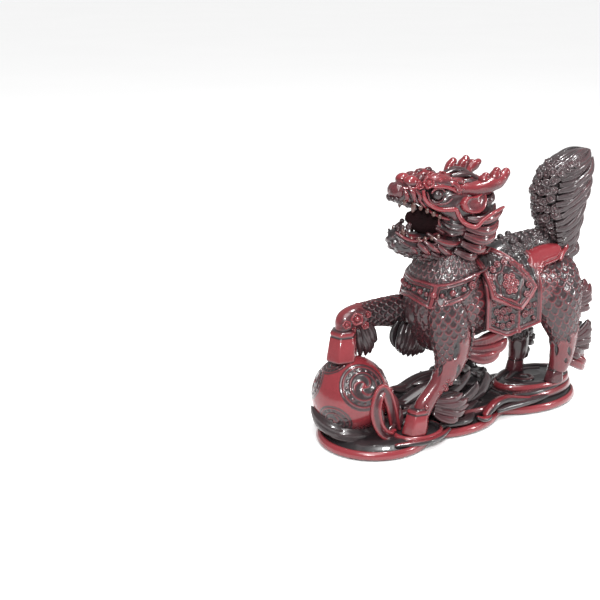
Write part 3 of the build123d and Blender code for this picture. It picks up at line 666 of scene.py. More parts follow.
smoky_resin = resin(
    "smoky_resin", brown=(0.038, 0.024, 0.026), red=(0.085, 0.034, 0.038), bright=(0.15, 0.055, 0.060)
)
NECK = (  # (x, 0, z, half width, half depth), from the head down
    (-9, 0, 113, 12.5, 11), (-10, 0, 108.5, 16, 14), (-11.5, 0, 102, 19.6, 17),
    (-12, 0, 94, 21.8, 20.5), (-12.5, 0, 82, 21.8, 19.5),
)
neck = Casting()
throat = carried(NECK, 100, 300)
front = ramp(-np.sin(turned(throat)), 0.95, 1.25)
bands = 0.5 + 0.5 * np.cos(throat[..., 2] * (2 * np.pi / 5.0))
throat_scaled, worn = scaled(throat, 3.0, 32, 0.9, smooth=front)
throat_scaled = throat_scaled + outward(throat) * (front * 0.5 * bands ** 0.6)[..., None]
neck.add(throat_scaled, 0.16 + 0.75 * worn + 0.12 * front * bands)
neck.write("scaled_neck", smoky_resin, "scaled_resin", "neck")


# Legs and hooves ---------------------------------------------------------------------------------
# Four leg castings, scaled above and smooth below, with dark leaf-shaped cuts in the smooth part.
# Each ends in a hard faceted hoof. The right forefoot is raised on to the ball, and a steel pin
# runs up through each of the other three hooves.
def leg(stations, pitch, count, bare_from, tongue, cuts, along=170, around=130, shade=1.0):
    """A leg that is scaled down to a wavy border and smooth below it. The border lies bare_from
    of the way down, and rises by tongue on the leg's front and outer side. A cut is
    (way down, angle, half length, half width, slant), all in shares of the leg or radians."""
    grid = carried(stations, along, around, cap=0.4)
    down = np.linspace(0, 1, grid.shape[0])[:, None]
    angle = turned(grid)
    outer = np.pi if stations[0][1] < 0 else 0.0
    lean = 0.5 + 0.5 * np.cos(angle - outer + (0.6 if outer else -0.6))
    edge = bare_from - tongue * lean ** 2 + 0.02 * np.cos(9 * angle)
    smooth = ramp(down, edge - 0.02, edge + 0.02)
    shape, worn = scaled(grid, pitch, count, 0.95, smooth=smooth)
    lip = np.exp(-((down - edge) / 0.018) ** 2)
    depth = 0 * angle
    for place, towards, length, width, slant in cuts:
        off = np.angle(np.exp(1j * (angle - towards))) + slant * (down - place)
        leaf = np.abs(down - place) / length
        depth = np.maximum(depth, ramp(1 - np.abs(off) / (width * np.clip(1 - leaf ** 2, 0.05, 1)), 0, 0.5)
                           * (leaf < 1))
    shape = shape + outward(grid) * (0.5 * smooth + 0.35 * lip - 1.3 * depth)[..., None]
    # inner is highest on the leg's outer side: the side that faces the body is rubbed less, as painted shade,
    # and the shade factor darkens the whole leg, also painted shade.
    inner = 0.5 + 0.5 * np.cos(angle - outer)
    paint = 0.06 + 0.8 * worn + smooth * 0.72 + 0.2 * lip
    return shape, paint * (1 - depth) * (0.45 + 0.55 * ramp(inner, 0.0, 0.5)) * shade


def hoof(foot, width, length, top, turn_to=0.35, around=96):
    """A hoof from its sole up: six flat faces with sharp corners, flared at the foot, a groove near
    the top and a rounded rim. The section is a hexagon with its corners slightly eased."""
    turn = np.linspace(0, 2 * np.pi, around, endpoint=False)
    sides = np.abs(np.cos(turn[:, None] - turn_to - np.arange(3) * np.pi / 3))
    corner = (sides ** 14).sum(axis=1) ** (-1 / 14)
    rows = np.array((  # share of height, share of size, rubbing
        (0.0, 0.2, 0.0), (0.0, 0.96, 0.1), (0.03, 1.0, 0.5), (0.08, 1.0, 0.8), (0.45, 0.92, 0.9),
        (0.76, 0.85, 0.85), (0.79, 0.80, 0.1), (0.82, 0.80, 0.05), (0.85, 0.84, 0.7),
        (0.91, 0.86, 0.85), (0.97, 0.78, 0.5), (1.0, 0.6, 0.1), (1.0, 0.2, 0.1),
    ))
    share, size, bared = (rows[:, k, None] for k in range(3))
    foot, top = np.array(foot, float), np.array(top, float)
    centre = foot + (top - foot) * share
    grid = np.stack((
        centre[:, :1] + np.cos(turn) * corner * length / 2 * size,
        centre[:, 1:2] + np.sin(turn) * corner * width / 2 * size,
        centre[:, 2:] + 0 * turn,
    ), -1)
    return grid, np.broadcast_to(bared, grid.shape[:2])


LEGS = {
    "left_fore_leg": dict(
        stations=((-20, -12, 86, 7, 11), (-20, -14, 80, 9.3, 12.5), (-19.5, -17, 67, 9.0, 13),
                  (-18.6, -19, 56, 7.6, 12), (-19.6, -19.6, 48.5, 6.6, 10.6), (-22.6, -20, 41.5, 5.6, 8),
                  (-27.5, -20, 35, 4.7, 5.6), (-32.3, -20, 29.5, 4.4, 5.2), (-36.8, -20, 23.5, 4.7, 5.8),
                  (-39.5, -20, 18, 4.6, 5.4)),
        pitch=3.2, count=13, bare_from=0.62, tongue=0.34, shade=0.8,
        cuts=((0.36, 3.3, 0.075, 0.22, -1.0), (0.52, 2.6, 0.06, 0.3, 7.0), (0.62, 2.9, 0.04, 0.28, 6.0),
              (0.56, 4.2, 0.06, 0.2, 0.0)),
    ),
    "left_hind_leg": dict(
        stations=((62, -7, 90, 9, 14), (64, -9, 82, 10.5, 17.5), (65, -12, 70, 11, 18),
                  (67.5, -14, 58, 9, 13.2), (71, -14, 48, 7, 10.6), (72.2, -13.4, 38, 6.2, 9.2),
                  (72, -12.8, 30, 5.6, 8.4), (70.5, -12.4, 23, 5.2, 6.4)),
        pitch=3.6, count=15, bare_from=0.66, tongue=0.10, shade=0.82,
        cuts=((0.60, 3.3, 0.045, 0.16, 2.0), (0.73, 3.1, 0.06, 0.20, 2.5), (0.84, 3.2, 0.04, 0.2, 2.5),
              (0.70, 4.2, 0.08, 0.2, 0.6)),
    ),
    "right_hind_leg": dict(
        stations=((60, 7, 82, 10, 17), (58, 12, 70, 10, 16), (55, 14, 58, 8, 12), (56, 14, 48, 6, 8.5),
                  (59, 13.5, 38, 5.4, 7.5), (59, 13, 30, 5.0, 6.8), (58, 13, 24, 4.8, 5.6)),
        pitch=3.5, count=13, bare_from=0.66, tongue=0.08,
        cuts=((0.70, 0.2, 0.05, 0.18, 0.6), (0.80, 0.1, 0.05, 0.2, 2.0)), shade=0.75,
    ),
    "right_fore_leg": dict(
        stations=((-22, 13, 68.5, 8, 11), (-34, 15.5, 69.8, 7.6, 9.8), (-47, 16.4, 70.8, 6.8, 8.2),
                  (-57, 16, 70.8, 6.6, 7.6), (-64.5, 15, 71, 6.8, 7.4), (-70, 14.5, 70, 5.8, 6.4),
                  (-72, 13.6, 66.4, 4.8, 5.0), (-72.4, 13, 62, 4.4, 4.6)),
        pitch=3.0, count=11, bare_from=0.50, tongue=0.0,
        cuts=((0.60, 3.3, 0.035, 0.3, 0.0), (0.66, 2.4, 0.03, 0.3, 0.0), (0.52, 2.6, 0.04, 0.25, 0.0)),
    ),
}
FRINGES = {  # where small curls run down the back of a leg, from the top down
    "left_fore_leg": ((-6.5, -23, 66), (-6.5, -23, 58), (-9.2, -23, 50), (-15.2, -22.5, 42),
                      (-22.5, -21.5, 35.5), (-28.0, -21, 28)),
    "left_hind_leg": ((80.5, -16, 62), (81, -15.5, 55), (81.3, -15, 48), (81.2, -14, 41), (80.2, -13, 34),
                      (77.6, -13, 27)),
    "right_hind_leg": ((67.5, 15, 58), (65.5, 15, 52), (65.5, 14, 46), (65.5, 14, 40), (64.5, 13, 33)),
    "right_fore_leg": ((-34, 12, 63.5), (-42, 13, 66.5), (-50, 14, 67), (-57, 14, 66)),
}


def curl(place, facing, size, along=8, around=14):
    """A snail-like curl: a ring with a bead in it, turned to face along `facing`."""
    facing = unit(np.asarray(facing, float))
    across = unit(np.cross(facing, (0.13, 0.31, 0.94)))
    over = np.cross(facing, across)
    profile = spline((  # radius, height
        (0.96, -0.5), (1.06, -0.05), (0.90, 0.42), (0.66, 0.30), (0.50, 0.12), (0.40, 0.42), (0.12, 0.66),
    ), along)
    turn = np.linspace(0, 2 * np.pi, around, endpoint=False)
    wave = 1 + 0.07 * np.cos(5 * turn)
    flat = across * np.cos(turn)[:, None] + over * np.sin(turn)[:, None]
    grid = np.asarray(place) + size * (
        flat * (profile[:, :1] * wave)[..., None] + facing * profile[:, None, 1:]
    )
    return grid, np.broadcast_to(ramp(profile[:, 1:], -0.1, 0.5), grid.shape[:2])


for name, sizes in LEGS.items():
    casting = Casting()
    casting.add(*leg(**sizes))
    line = spline(FRINGES[name], 15)
    axis = spline([station[:3] for station in sizes["stations"]], 60)
    for place in line:
        away = unit(place - axis[np.linalg.norm(axis - place, axis=1).argmin()])
        bump, worn = curl(place - away * 0.6, away + (0, 0.35 * np.sign(place[1]), 0), 1.9)
        casting.add(bump, 0.1 + 0.55 * worn)
    if name == "left_fore_leg":
        for place, size in (((-24.5, -24.6, 38.5), 1.7), ((-22.2, -24.2, 36), 1.5), ((-27, -24.4, 35.4), 1.7),
                            ((-25, -24, 32.8), 1.5), ((-29.6, -24.2, 32), 1.6), ((-38.5, -25, 24.6), 1.7)):
            bump, worn = curl(place, (-0.2, -1, 0.2), size)
            casting.add(bump, 0.2 + 0.7 * worn)
    if name == "right_fore_leg":
        for place, size in (((-66.5, 8.2, 72.5), 3.8), ((-72.5, 9.5, 69.5), 2.6), ((-60.5, 8.8, 67.5), 2.4),
                            ((-68, 10.5, 65.5), 2.2), ((-58.5, 9.6, 73.5), 2.2)):
            bump, worn = curl(place, (-0.3, -1, 0.25), size, 10, 22)
            casting.add(bump, 0.25 + 0.7 * worn)
    casting.write(name + "_casting", body_resin, "scaled_resin", name)

hoof_resin = resin("hoof_resin", bright=(0.17, 0.026, 0.031), grime=0.2)
HOOVES = {  # name: (foot, width, length, top)
    "left_fore_hoof": ((-43.2, -20.5, 7.8), 13.0, 15.0, (-40.6, -20, 23.2)),
    "left_hind_hoof": ((68, -12, 15.0), 10.5, 12.5, (69, -12, 24.5)),
    "right_hind_hoof": ((57, 13, 15.0), 10.5, 12.5, (58, 13, 24.5)),
    "right_fore_hoof": ((-75.0, 10.4, 48.6), 16.5, 17.0, (-72.4, 13.2, 66.0)),
}
for name, (foot, width, length, top) in HOOVES.items():
    casting = Casting()
    horn, bared = hoof(foot, width, length, top)
    casting.add(horn, bared * (0.45 if "hind" in name else 1.0))
    casting.write(name + "_casting", hoof_resin, "red_resin", name)


# Leg and chest tufts -----------------------------------------------------------------------------
# Flame-like tufts of long hair, each a small casting glued to the back of a leg or under the chest.
# Every tuft is a fan of pointed locks, with grooves cut along them.
def fan(casting, roots, tips, count, width, depth, face, bow=(0, 0, 0), rubbed=(0.15, 0.6), along=20,
        around=14, grooves=2, jitter=0.0, seed=0, blunt=0.0):
    """Locks side by side: each runs from its place along `roots` to its place along `tips`, bowed
    out by `bow` in between. The sizes are in millimetres."""
    random = np.random.default_rng(seed)
    starts, ends = spline(roots, count), spline(tips, count)
    bow = np.asarray(bow, float)
    for k in range(count):
        stray = random.normal(size=(2, 3)) * jitter
        way = ends[k] - starts[k]
        path = (
            starts[k], starts[k] + 0.33 * way + 0.8 * bow + stray[0],
            starts[k] + 0.68 * way + 0.9 * bow + stray[1], ends[k],
        )
        strand, worn = lock(path, width, depth, face, along, around, grooves, blunt=blunt)
        casting.add(strand, rubbed[0] + rubbed[1] * worn)


LEFT, RIGHT = (0, -1, 0.15), (0, 1, 0.15)
TUFT_FANS = {  # name: fans of (roots, tips, count, width, depth, face, bow, rubbed)
    "left_elbow_tuft": (
        (((-8, -21, 49), (-7, -20, 52), (-5, -18, 55)),
         ((13, -23.5, 50), (19, -22.5, 56), (23, -20.5, 65)), 3, 4.2, 3.0, LEFT, (1, -2, -3.0), (0.15, 1.0)),
        (((-10, -18, 50), (-7, -16, 55)), ((6, -19, 47), (12, -18, 60)), 4, 2.8, 2.4, LEFT, (1, -1, -2),
         (0.05, 0.35)),
    ),
    "left_fetlock_tuft": (
        (((-30, -22, 26), (-31, -22, 22), (-31.5, -21.5, 18)),
         ((-11, -22, 26.5), (-6.5, -23, 21.5), (-8.5, -23.5, 16.5), (-15, -24, 14)), 5, 2.7, 2.2, LEFT,
         (-1, -2, -1.2), (0.08, 0.5)),
        (((-30, -19, 24), (-31, -19, 18)), ((-9, -17, 24), (-9, -18, 15)), 4, 2.8, 2.4, (0, 0, 1), (0, 0, 1),
         (0.05, 0.3)),
    ),
    "right_knee_tuft": (
        (((-63, 13, 66), (-58, 13, 68)), ((-61.5, 12, 46.5), (-55, 11.5, 47.5), (-50.5, 12, 54)), 5, 2.7,
         2.2, (0.1, -1, 0), (0.5, -1, 0), (0.06, 0.25)),
        (((-63, 17, 66), (-58, 17, 68)), ((-60.5, 17, 48), (-52, 17, 54)), 4, 2.7, 2.2, RIGHT, (0.5, 1, 0),
         (0.06, 0.25)),
    ),
    "chest_tuft": (
        (((-37, 3, 66), (-28, 3, 64), (-22, 4, 60)),
         ((-41, 4, 50), (-36.5, 4, 45.5), (-30, 4, 43.5), (-24, 4, 44.5)), 7, 2.7, 2.4, (0, -1, 0),
         (-1.4, -1.6, 0), (0.05, 0.18)),
        (((-37, 9, 66), (-28, 9, 64), (-22, 8, 60)),
         ((-40, 8, 50), (-35, 8, 45), (-29, 8, 43.5), (-24, 8, 45)), 6, 2.7, 2.4, (0, 1, 0),
         (-1.4, 1.6, 0), (0.05, 0.18)),
    ),
    "left_thigh_tuft": (
        (((76, -13, 60), (77, -13, 66), (78, -13, 72)),
         ((85.5, -11, 56.0), (94.5, -10, 62), (95, -10, 69), (93.5, -11, 74.5), (87, -11, 79.5)), 6, 3.0, 2.4,
         LEFT, (1.5, -1.4, -1), (0.12, 0.55)),
        (((76, -10, 60), (78, -10, 71)), ((90, -7, 58), (90, -8, 77)), 4, 3.0, 2.4, RIGHT, (1.5, 1, -1),
         (0.1, 0.4)),
    ),
    "left_hock_tuft": (
        (((77, -14, 32), (78.5, -14, 37), (79.5, -14, 42)),
         ((88, -12, 27.5), (94, -12, 31), (96.5, -12, 38), (96, -12, 45), (92.5, -12, 51.5)), 7, 2.9, 2.4,
         LEFT, (1.5, -1.4, 0.5), (0.08, 0.45)),
        (((77, -11, 32), (79, -11, 42)), ((90, -8, 29), (92, -8, 49)), 4, 2.9, 2.4, RIGHT, (1.5, 1, 0.5),
         (0.05, 0.35)),
    ),
    "left_heel_tuft": (
        (((76, -13, 31), (76, -13, 26)),
         ((89, -11, 29.5), (94, -11, 26), (95.5, -11, 20), (94, -11, 15.8)), 4, 3.2, 2.4, LEFT,
         (1, -1, 1.5), (0.3, 0.7)),
        (((76, -10, 31), (76, -10, 26)), ((89, -7, 27), (92, -7, 18)), 3, 3.0, 2.4, RIGHT, (1, 1, 1.5),
         (0.15, 0.5)),
    ),
    "right_hock_tuft": (
        (((62, 12, 39), (61, 12, 31)), ((70, 13, 41), (71, 13, 34), (68, 13, 25), (64, 13, 22)), 5, 2.5, 2.0,
         (0, -1, 0), (1, -1, 0), (0.05, 0.25)),
        (((62, 16, 39), (61, 16, 31)), ((70, 16, 40), (70, 16, 30), (66, 16, 23)), 4, 2.5, 2.0, RIGHT,
         (1, 1, 0), (0.05, 0.35)),
        (((57, 14, 38), (57, 14, 30)), ((54, 14.5, 35), (54.5, 14.5, 24)), 3, 2.2, 1.8, (-0.4, -1, 0),
         (-1, 0, 0), (0.05, 0.2)),
    ),
}
for name, fans in TUFT_FANS.items():
    casting = Casting()
    for roots, tips, count, width, depth, face, bow, rubbed in fans:
        fan(casting, roots, tips, count, width, depth, face, bow, rubbed,
            jitter=0.5, seed=len(name), blunt=1.4)
    casting.write(name + "_casting", red_resin, "red_resin", name)


# Tail --------------------------------------------------------------------------------------------
# The tail is one upright casting, glued over a steel dowel at the rump. Small curls cover its front,
# and long locks sweep up and back over its sides to a ragged rear edge.
TAIL_CORE = (
    (68, 0, 92, 7.5, 7), (71, 0, 100, 8.2, 8), (72, 0, 108, 8.5, 9.5), (71.5, 0, 118, 9, 12.5),
    (71.5, 0, 130, 9, 15.5), (74, 0, 141, 8.5, 14.5), (79, 0, 149, 7, 10), (84, 0, 154, 5, 6),
)
tail = Casting()
core = carried(TAIL_CORE, 100, 120)
tail.add(core + outward(core) * (0.6 * ripple(core * (1, 1, 0.4), 5.0, 31))[..., None], 0.1)
for side in (-1, 1):
    face = (0.1, side, 0.1)
    fan(tail, ((69, side * 6, 86), (67, side * 7.5, 93), (65.5, side * 8.4, 101), (62.5, side * 9.2, 110),
               (60, side * 9.5, 120), (60, side * 9, 131), (63, side * 8, 141), (67, side * 6.5, 148)),
        ((77, side * 4, 99), (81.5, side * 3, 108), (85, side * 2.5, 117), (87, side * 2, 125),
         (90.5, side * 2, 136), (93.5, side * 1.6, 147), (91.5, side * 1, 158.6)),
        20, 3.0, 3.0, face, (1.5, side * 2.4, -1.6), (0.06, 0.7), along=30, jitter=0.45, seed=41, blunt=0.8)
    fan(tail, ((69, side * 7, 92), (68, side * 8.6, 100), (66, side * 9.6, 110), (64.5, side * 10, 122),
               (67, side * 9, 135)),
        ((80.5, side * 5.5, 106), (84, side * 5, 118), (87, side * 4.5, 130), (90, side * 4, 142),
         (92.5, side * 3, 154.5)),
        12, 2.8, 2.8, face, (1.4, side * 2.6, -1.4), (0.08, 0.75), along=28, jitter=0.7, seed=42, blunt=0.8)
    fan(tail, ((55.5, side * 5.5, 139), (59, side * 6, 145), (65, side * 5, 150)),
        ((85, side * 3, 150), (89, side * 2.4, 154), (91, side * 1.2, 158.6)),
        8, 3.0, 2.8, (-0.1, side, 0.35), (-2.4, side * 1.8, 2.0), (0.06, 0.65), along=28, jitter=0.3, seed=43)
fan(tail, ((60, -4.5, 149), (62, 0, 151), (60, 4.5, 149)), ((88, -3, 156.8), (90.5, 0, 159), (88, 3, 156.8)),
    5, 3.0, 2.6, (-0.4, 0, 1), (-1.0, 0, 1.6), (0.06, 0.6), along=26, jitter=0.2, seed=46)
fan(tail, ((74, -3, 97), (78, -2.5, 110), (82, -2, 122), (85.5, -2, 136), (87, -1.5, 150)),
    ((78, 0, 101), (83, 0, 113), (87, 0, 125), (91, 0, 137), (94.2, 0, 150)),
    12, 2.6, 2.2, (1, 0, 0.2), (0.5, 0, 0), (0.06, 0.55), along=18, jitter=0.3, seed=44)
random = np.random.default_rng(45)
spine = spline(((67, 0, 99), (62.5, 0, 107), (57, 0, 116), (53, 0, 126), (52, 0, 137), (55, 0, 146),
                (61, 0, 151.5), (68, 0, 154.5)), 15)
for k, place in enumerate(spine):
    for step in range(-3, 4):
        swing = (step + 0.5 * (k % 2)) * 0.42
        back = 8.5 * (1 - np.cos(swing)) + 0.3 * abs(step)
        inward = np.array((1.0, 0, -0.25 if k > 10 else 0.15))
        where = place + np.array((0, 9.3 * np.sin(swing), 0)) + inward * back
        facing = np.array((-np.cos(swing), 1.1 * np.sin(swing), 0.25 if k < 11 else 0.9))
        stray = random.normal(size=3) * (0.3, 0.6, 0.7)
        bump, worn = curl(where + stray - unit(facing) * 0.4, facing, random.uniform(2.0, 3.1))
        tail.add(bump, 0.05 + 0.42 * worn)
tail.write("flame_tail", smoky_resin, "red_resin", "tail")


# Skull and lower jaw -----------------------------------------------------------------------------
# The head is a dragon's: a long muzzle with a bulbous nose, and a gaping mouth. The skull casting is
# glued over the neck dowel, and the lower jaw is a second casting glued under it. The mouth is a
# deep recess, filled with a matte near-black piece that is painted shade.
SKULL = (  # (x, 0, z, half width, half height), from the nose back
    (-49, 0, 146.5, 4.0, 4.0), (-46, 0, 146.3, 6.5, 5.8), (-40, 0, 145.5, 8.3, 7.5),
    (-31, 0, 143.5, 9.8, 9.5), (-22, 0, 141, 12.8, 12.5), (-10, 0, 137.5, 16, 16.0),
    (-1, 0, 134.0, 16.6, 17.6), (7, 0, 131.5, 13, 14.5), (12, 0, 131, 7, 9),
)
JAW = (
    (-49, 0, 122.5, 4.0, 4.0), (-46.5, 0, 119.5, 7.5, 6.0), (-41, 0, 116.5, 9.5, 6.8),
    (-34, 0, 114.5, 10.8, 6.8), (-26, 0, 113.5, 12.0, 7.0), (-14, 0, 114.5, 13.5, 8.5),
    (0, 0, 115, 13.5, 9.0), (8, 0, 115, 10, 7),
)


def on_flank(stations, places, side, lift=0.0):
    """Points on the flank of a body of ellipses: y is the half width at (x, z), plus lift."""
    places = np.asarray(places, float)
    line = spline(stations, 200)
    x, middle, wide, high = line[:, 0], line[:, 2], line[:, 3], line[:, 4]
    level = (places[:, 1] - np.interp(places[:, 0], x, middle)) / np.interp(places[:, 0], x, high)
    width = np.interp(places[:, 0], x, wide) * np.sqrt(1 - np.clip(np.abs(level), 0, 0.93) ** 2)
    return np.column_stack((places[:, 0], side * (width + lift), places[:, 1]))


def bead(place, radius, rows=9, columns=14, squash=(1, 1, 1)):
    """A ball, or an egg where squash stretches it."""
    tilt = np.linspace(0.1, np.pi - 0.1, rows)[:, None]
    turn = np.linspace(0, 2 * np.pi, columns, endpoint=False)
    egg = (np.sin(tilt) * np.cos(turn), np.sin(tilt) * np.sin(turn), -np.cos(tilt) + 0 * turn)
    return np.asarray(place) + np.stack(egg, -1) * radius * np.asarray(squash)


def both_ridges(casting, stations, places, radius, bared, lift=0.4, along=60):
    """A raised line on each flank of a body, through the same places."""
    for side in (-1, 1):
        path = on_flank(stations, spline(places, 3 * len(places)), side, lift)
        line, worn = ridge(path, radius, along=along, around=14, outside=(0, side, 0.01), rise=1.0)
        casting.add(line, bared[0] + (bared[1] - bared[0]) * worn)


skull = Casting()
head = carried(SKULL, 150, 150, cap=0.5)
angle = turned(head)
down = ramp(-np.sin(angle), 0.55, 0.95) * ramp(head[..., 0], -46, -40) * ramp(-head[..., 0], 8, 16)
socket_centre = on_flank(SKULL, [(-27.5, 144.8)], 1)[0]
socket = sum(
    np.exp(-(np.linalg.norm((head - socket_centre * (1, side, 1)) / (1.35, 1, 1), axis=-1) / 4.6) ** 2)
    for side in (-1, 1)
)
wrinkle = np.cos(head[..., 0] * 1.5 + head[..., 2] * 0.9) * ramp(-head[..., 0], 28, 36)
cheek = (1 - np.abs(ripple(head * (0.6, 1, 1.5), 11.0, 51))) ** 2 * ramp(head[..., 0], -26, -16)
lift = 0.5 * wrinkle + 1.3 * cheek - 3.2 * socket - 4.0 * down
skull.add(
    head + outward(head) * lift[..., None],
    (0.16 + 0.2 * ramp(wrinkle, 0.2, 1) + 0.35 * cheek ** 2 + 0.3 * ramp(np.sin(angle), 0.5, 1))
    * (1 - 0.9 * np.clip(socket, 0, 1)) * (1 - down),
)
MOUTH = (  # the recess behind the teeth, filled with a matte near-black piece as painted shade, so that it takes no shine
    (-39.5, 0, 131.5, 0.8, 3), (-34, 0, 130, 2.0, 6.5), (-27, 0, 128, 3.8, 8.6), (-20, 0, 126.5, 6.0, 9.5),
    (-10, 0, 125, 10, 10.5), (0, 0, 124.5, 12, 11),
)
mouth_shadow, shader, paint = painted("mouth_shadow", Roughness=0.85, Specular_IOR_Level=0.08)
mottle = paint.node("TexNoise", Vector=paint.node("TexCoord", out="Object"), Scale=200.0, Detail=2.0)
shadow_tones = ((0.0, (0.002, 0.001, 0.001)), (1.0, (0.012, 0.003, 0.004)))
give(shader, Base_Color=paint.node("ValToRGB", {"stops": shadow_tones}, Fac=mottle))
mouth_shade_fill = Casting()
mouth_shade_fill.add(carried(MOUTH, 40, 50), 0.0)
mouth_shade_fill.write("mouth_shadow_fill", mouth_shadow, "dark_resin")
CHEEK = (
    (-20.5, 0, 125.5, 6.0, 5.0), (-17.5, 0, 125.5, 12.5, 9), (-12, 0, 125, 15.2, 12),
    (-4, 0, 124.5, 17, 14.5), (5, 0, 124.5, 16.5, 14), (13, 0, 125, 12, 10),
)
jowl = carried(CHEEK, 70, 110)
folds = (1 - np.abs(ripple(jowl * (0.5, 1, 1.4), 8.0, 53))) ** 2
skull.add(jowl + outward(jowl) * (1.4 * folds)[..., None], 0.06 + 0.45 * folds ** 2)
WHISKER = (
    (-36.4, 147.6), (-35.6, 143.4), (-31.6, 139.4), (-26, 136.6), (-21.5, 136.2), (-18.0, 136.2),
    (-15.8, 133.6), (-13.6, 129.6), (-11.0, 127.2), (-7.4, 126.6), (-4, 129.6), (1.5, 132.8), (7.5, 134.4),
    (13, 135.0),
)
for side in (-1, 1):
    path = on_flank(SKULL, WHISKER, side, 1.2)
    clear_of_mane = np.interp(path[:, 0], (-24, -15, -9, 0, 8, 14), (0, 14.5, 20.8, 22.2, 21, 18))
    path[:, 1] = side * np.maximum(np.abs(path[:, 1]), clear_of_mane)
    line, worn = ridge(path, 1.45, along=110, around=16, outside=(0, side, 0.1), rise=0.9)
    skull.add(line, 0.25 + 0.9 * worn)
MOUTH_LINE = (
    (-39, 143.5), (-35, 139.5), (-28.5, 134.3), (-22.5, 131), (-17.5, 129.2), (-14.3, 127), (-14.4, 124),
)
both_ridges(skull, SKULL, MOUTH_LINE, 0.85, (0.1, 0.75), lift=0.6, along=80)
FACE_LINES = (  # places on the flank, half width, rubbed, how far out
    (((-22, 129.5), (-21.8, 126.5), (-20, 123.6), (-18, 122.4)), 0.8, (0.1, 0.8), 0.6),
    (((-16, 139.2), (-12, 136.5), (-7, 132.5), (-4.5, 129.5)), 0.8, (0.05, 0.5), 0.5),
    (((-18, 133), (-15, 130), (-12.5, 126.5), (-10, 123.5)), 0.9, (0.05, 0.5), 0.7),
    (((-33.5, 146.5), (-32, 142), (-28, 139.6), (-23, 139.8), (-19.5, 142.4)), 0.8, (0.05, 0.55), 0.2),
)
for places, radius, bared, lift in FACE_LINES:
    both_ridges(skull, SKULL, places, radius, bared, lift=lift)
for side in (-1, 1):
    for start, bend, end, width in (
        ((-44, 151), (-42.3, 147), (-40.2, 141), 1.8), ((-46.5, 149), (-45.6, 145), (-44.2, 140.8), 1.5),
        ((-40.8, 148.5), (-38.4, 144.6), (-37.8, 140.5), 1.1),
    ):
        path = on_flank(SKULL, (start, bend, end), side, 0.8)
        leaf, worn = lock(path, width, 1.6, (0, side, 0.1), along=20, around=14, grooves=1)
        skull.add(leaf, 0.3 + 0.7 * worn)
    lip = spline(((-49.5, 144), (-46.5, 142), (-43, 140.6), (-40, 139.4), (-37.5, 137.8)), 12)
    lip = on_flank(SKULL, lip, side)
    for k, place in enumerate(lip):
        skull.add(bead(place - (0, 0.3 * side, 0.8), 1.25 + 0.25 * (k % 2)), 0.12)
for k, place in enumerate(spline(((-50.2, -4, 143.6), (-52.0, 0, 143.2), (-50.2, 4, 143.6)), 5)):
    skull.add(bead(place, 1.4), 0.15)
CREST = (  # hair locks on the crown, between the antlers
    ((-16, 0, 153.5), (-8, 0.5, 155), (-1, 1, 153.2), (7, 1, 147.5), 3.4),
    ((-14, -4, 152.6), (-6, -5.2, 153.2), (1, -5.5, 150.8), (8, -5, 145.5), 2.8),
    ((-14, 4.5, 152.6), (-6, 6.0, 153.2), (1, 6.0, 150.8), (8, 5.5, 145.5), 2.8),
    ((-9, -9, 150.2), (-3, -10.5, 149.2), (3, -10.6, 146), (8.5, -9.5, 141.4), 2.8),
    ((-9, 9, 150.2), (-3, 10.5, 149.2), (3, 10.6, 146), (8.5, 9.5, 141.4), 2.8),
)
for *path, width in CREST:
    strand, worn = lock(path, width, 2.2, (0.1, 0.12 * path[0][1], 1), along=30, around=18, grooves=3)
    skull.add(strand, 0.08 + 0.4 * worn)
CROWN_CURL = ((-8, 149.5), (-3, 150.4), (3, 149.2), (6, 147.6), (2, 147.2), (-4, 147.4), (-8, 149))
both_ridges(skull, SKULL, CROWN_CURL, 0.7, (0.1, 0.6), lift=0.6)
skull.write("dragon_skull", red_resin, "red_resin", "skull")

jaw = Casting()
chin = carried(JAW, 110, 130, cap=0.6)
angle = turned(chin)
trough = ramp(np.sin(angle), 0.45, 0.85) * ramp(chin[..., 0], -48, -43) * ramp(-chin[..., 0], 10, 18)
pits = ripple(chin, 4.2, 52)
under = ramp(-np.sin(angle), -0.2, 0.6) * ramp(-chin[..., 0], 14, 30)
jaw.add(
    chin + outward(chin) * (0.7 * under * pits - 3.4 * trough)[..., None],
    (0.10 + 0.22 * under * ramp(pits, 0, 1)) * (1 - trough),
)
JAW_RIM = ((-49.5, 124.5), (-46, 121.6), (-41, 119.6), (-34, 119.0), (-26.5, 119.8), (-20, 121.2))
both_ridges(jaw, JAW, JAW_RIM, 1.0, (0.05, 0.55), lift=0.1)
both_ridges(jaw, JAW, ((-48.5, 120.5), (-44, 117.0), (-38, 115.6), (-30, 116.2), (-22, 118.2)), 0.8,
            (0.05, 0.35), lift=0.3)
JAW_LOCKS = (  # path on the flank, half width, rubbed
    (((-43.8, 116.8), (-41.5, 114.8), (-38.2, 111.6)), 1.8, 0.9),
    (((-39.4, 118.4), (-35.6, 114.8), (-30.2, 110.4)), 2.1, 1.0),
    (((-34.6, 119.0), (-30.6, 115.4), (-25.0, 111.4)), 1.9, 0.95),
    (((-30, 122), (-25, 118), (-18, 116.0), (-12, 116.8)), 2.3, 0.9),
    (((-27, 116), (-21, 111.4), (-14, 108.6), (-8.2, 111.4)), 2.3, 1.0),
    (((-31, 112.5), (-24, 108.6), (-17, 106.8), (-9, 106.8)), 2.0, 0.6),
    (((-24, 124.5), (-19, 121.4), (-12.5, 120), (-6, 121.8)), 2.4, 1.0),
    (((-16, 113), (-10, 110.6), (-4, 110.6), (3, 114.5)), 2.4, 0.7),
    (((-14, 118), (-7, 115.2), (0, 115.4), (7, 118.6)), 2.6, 0.8),
)
for side in (-1, 1):
    for path, width, bared in JAW_LOCKS:
        path = on_flank(JAW, path, side, 1.0)
        strand, worn = lock(path, width, 1.9, (0, side, 0.1), along=26, around=16, grooves=1)
        jaw.add(strand, 0.08 + bared * worn)
jaw.write("lower_jaw_casting", red_resin, "red_resin", "lower_jaw")

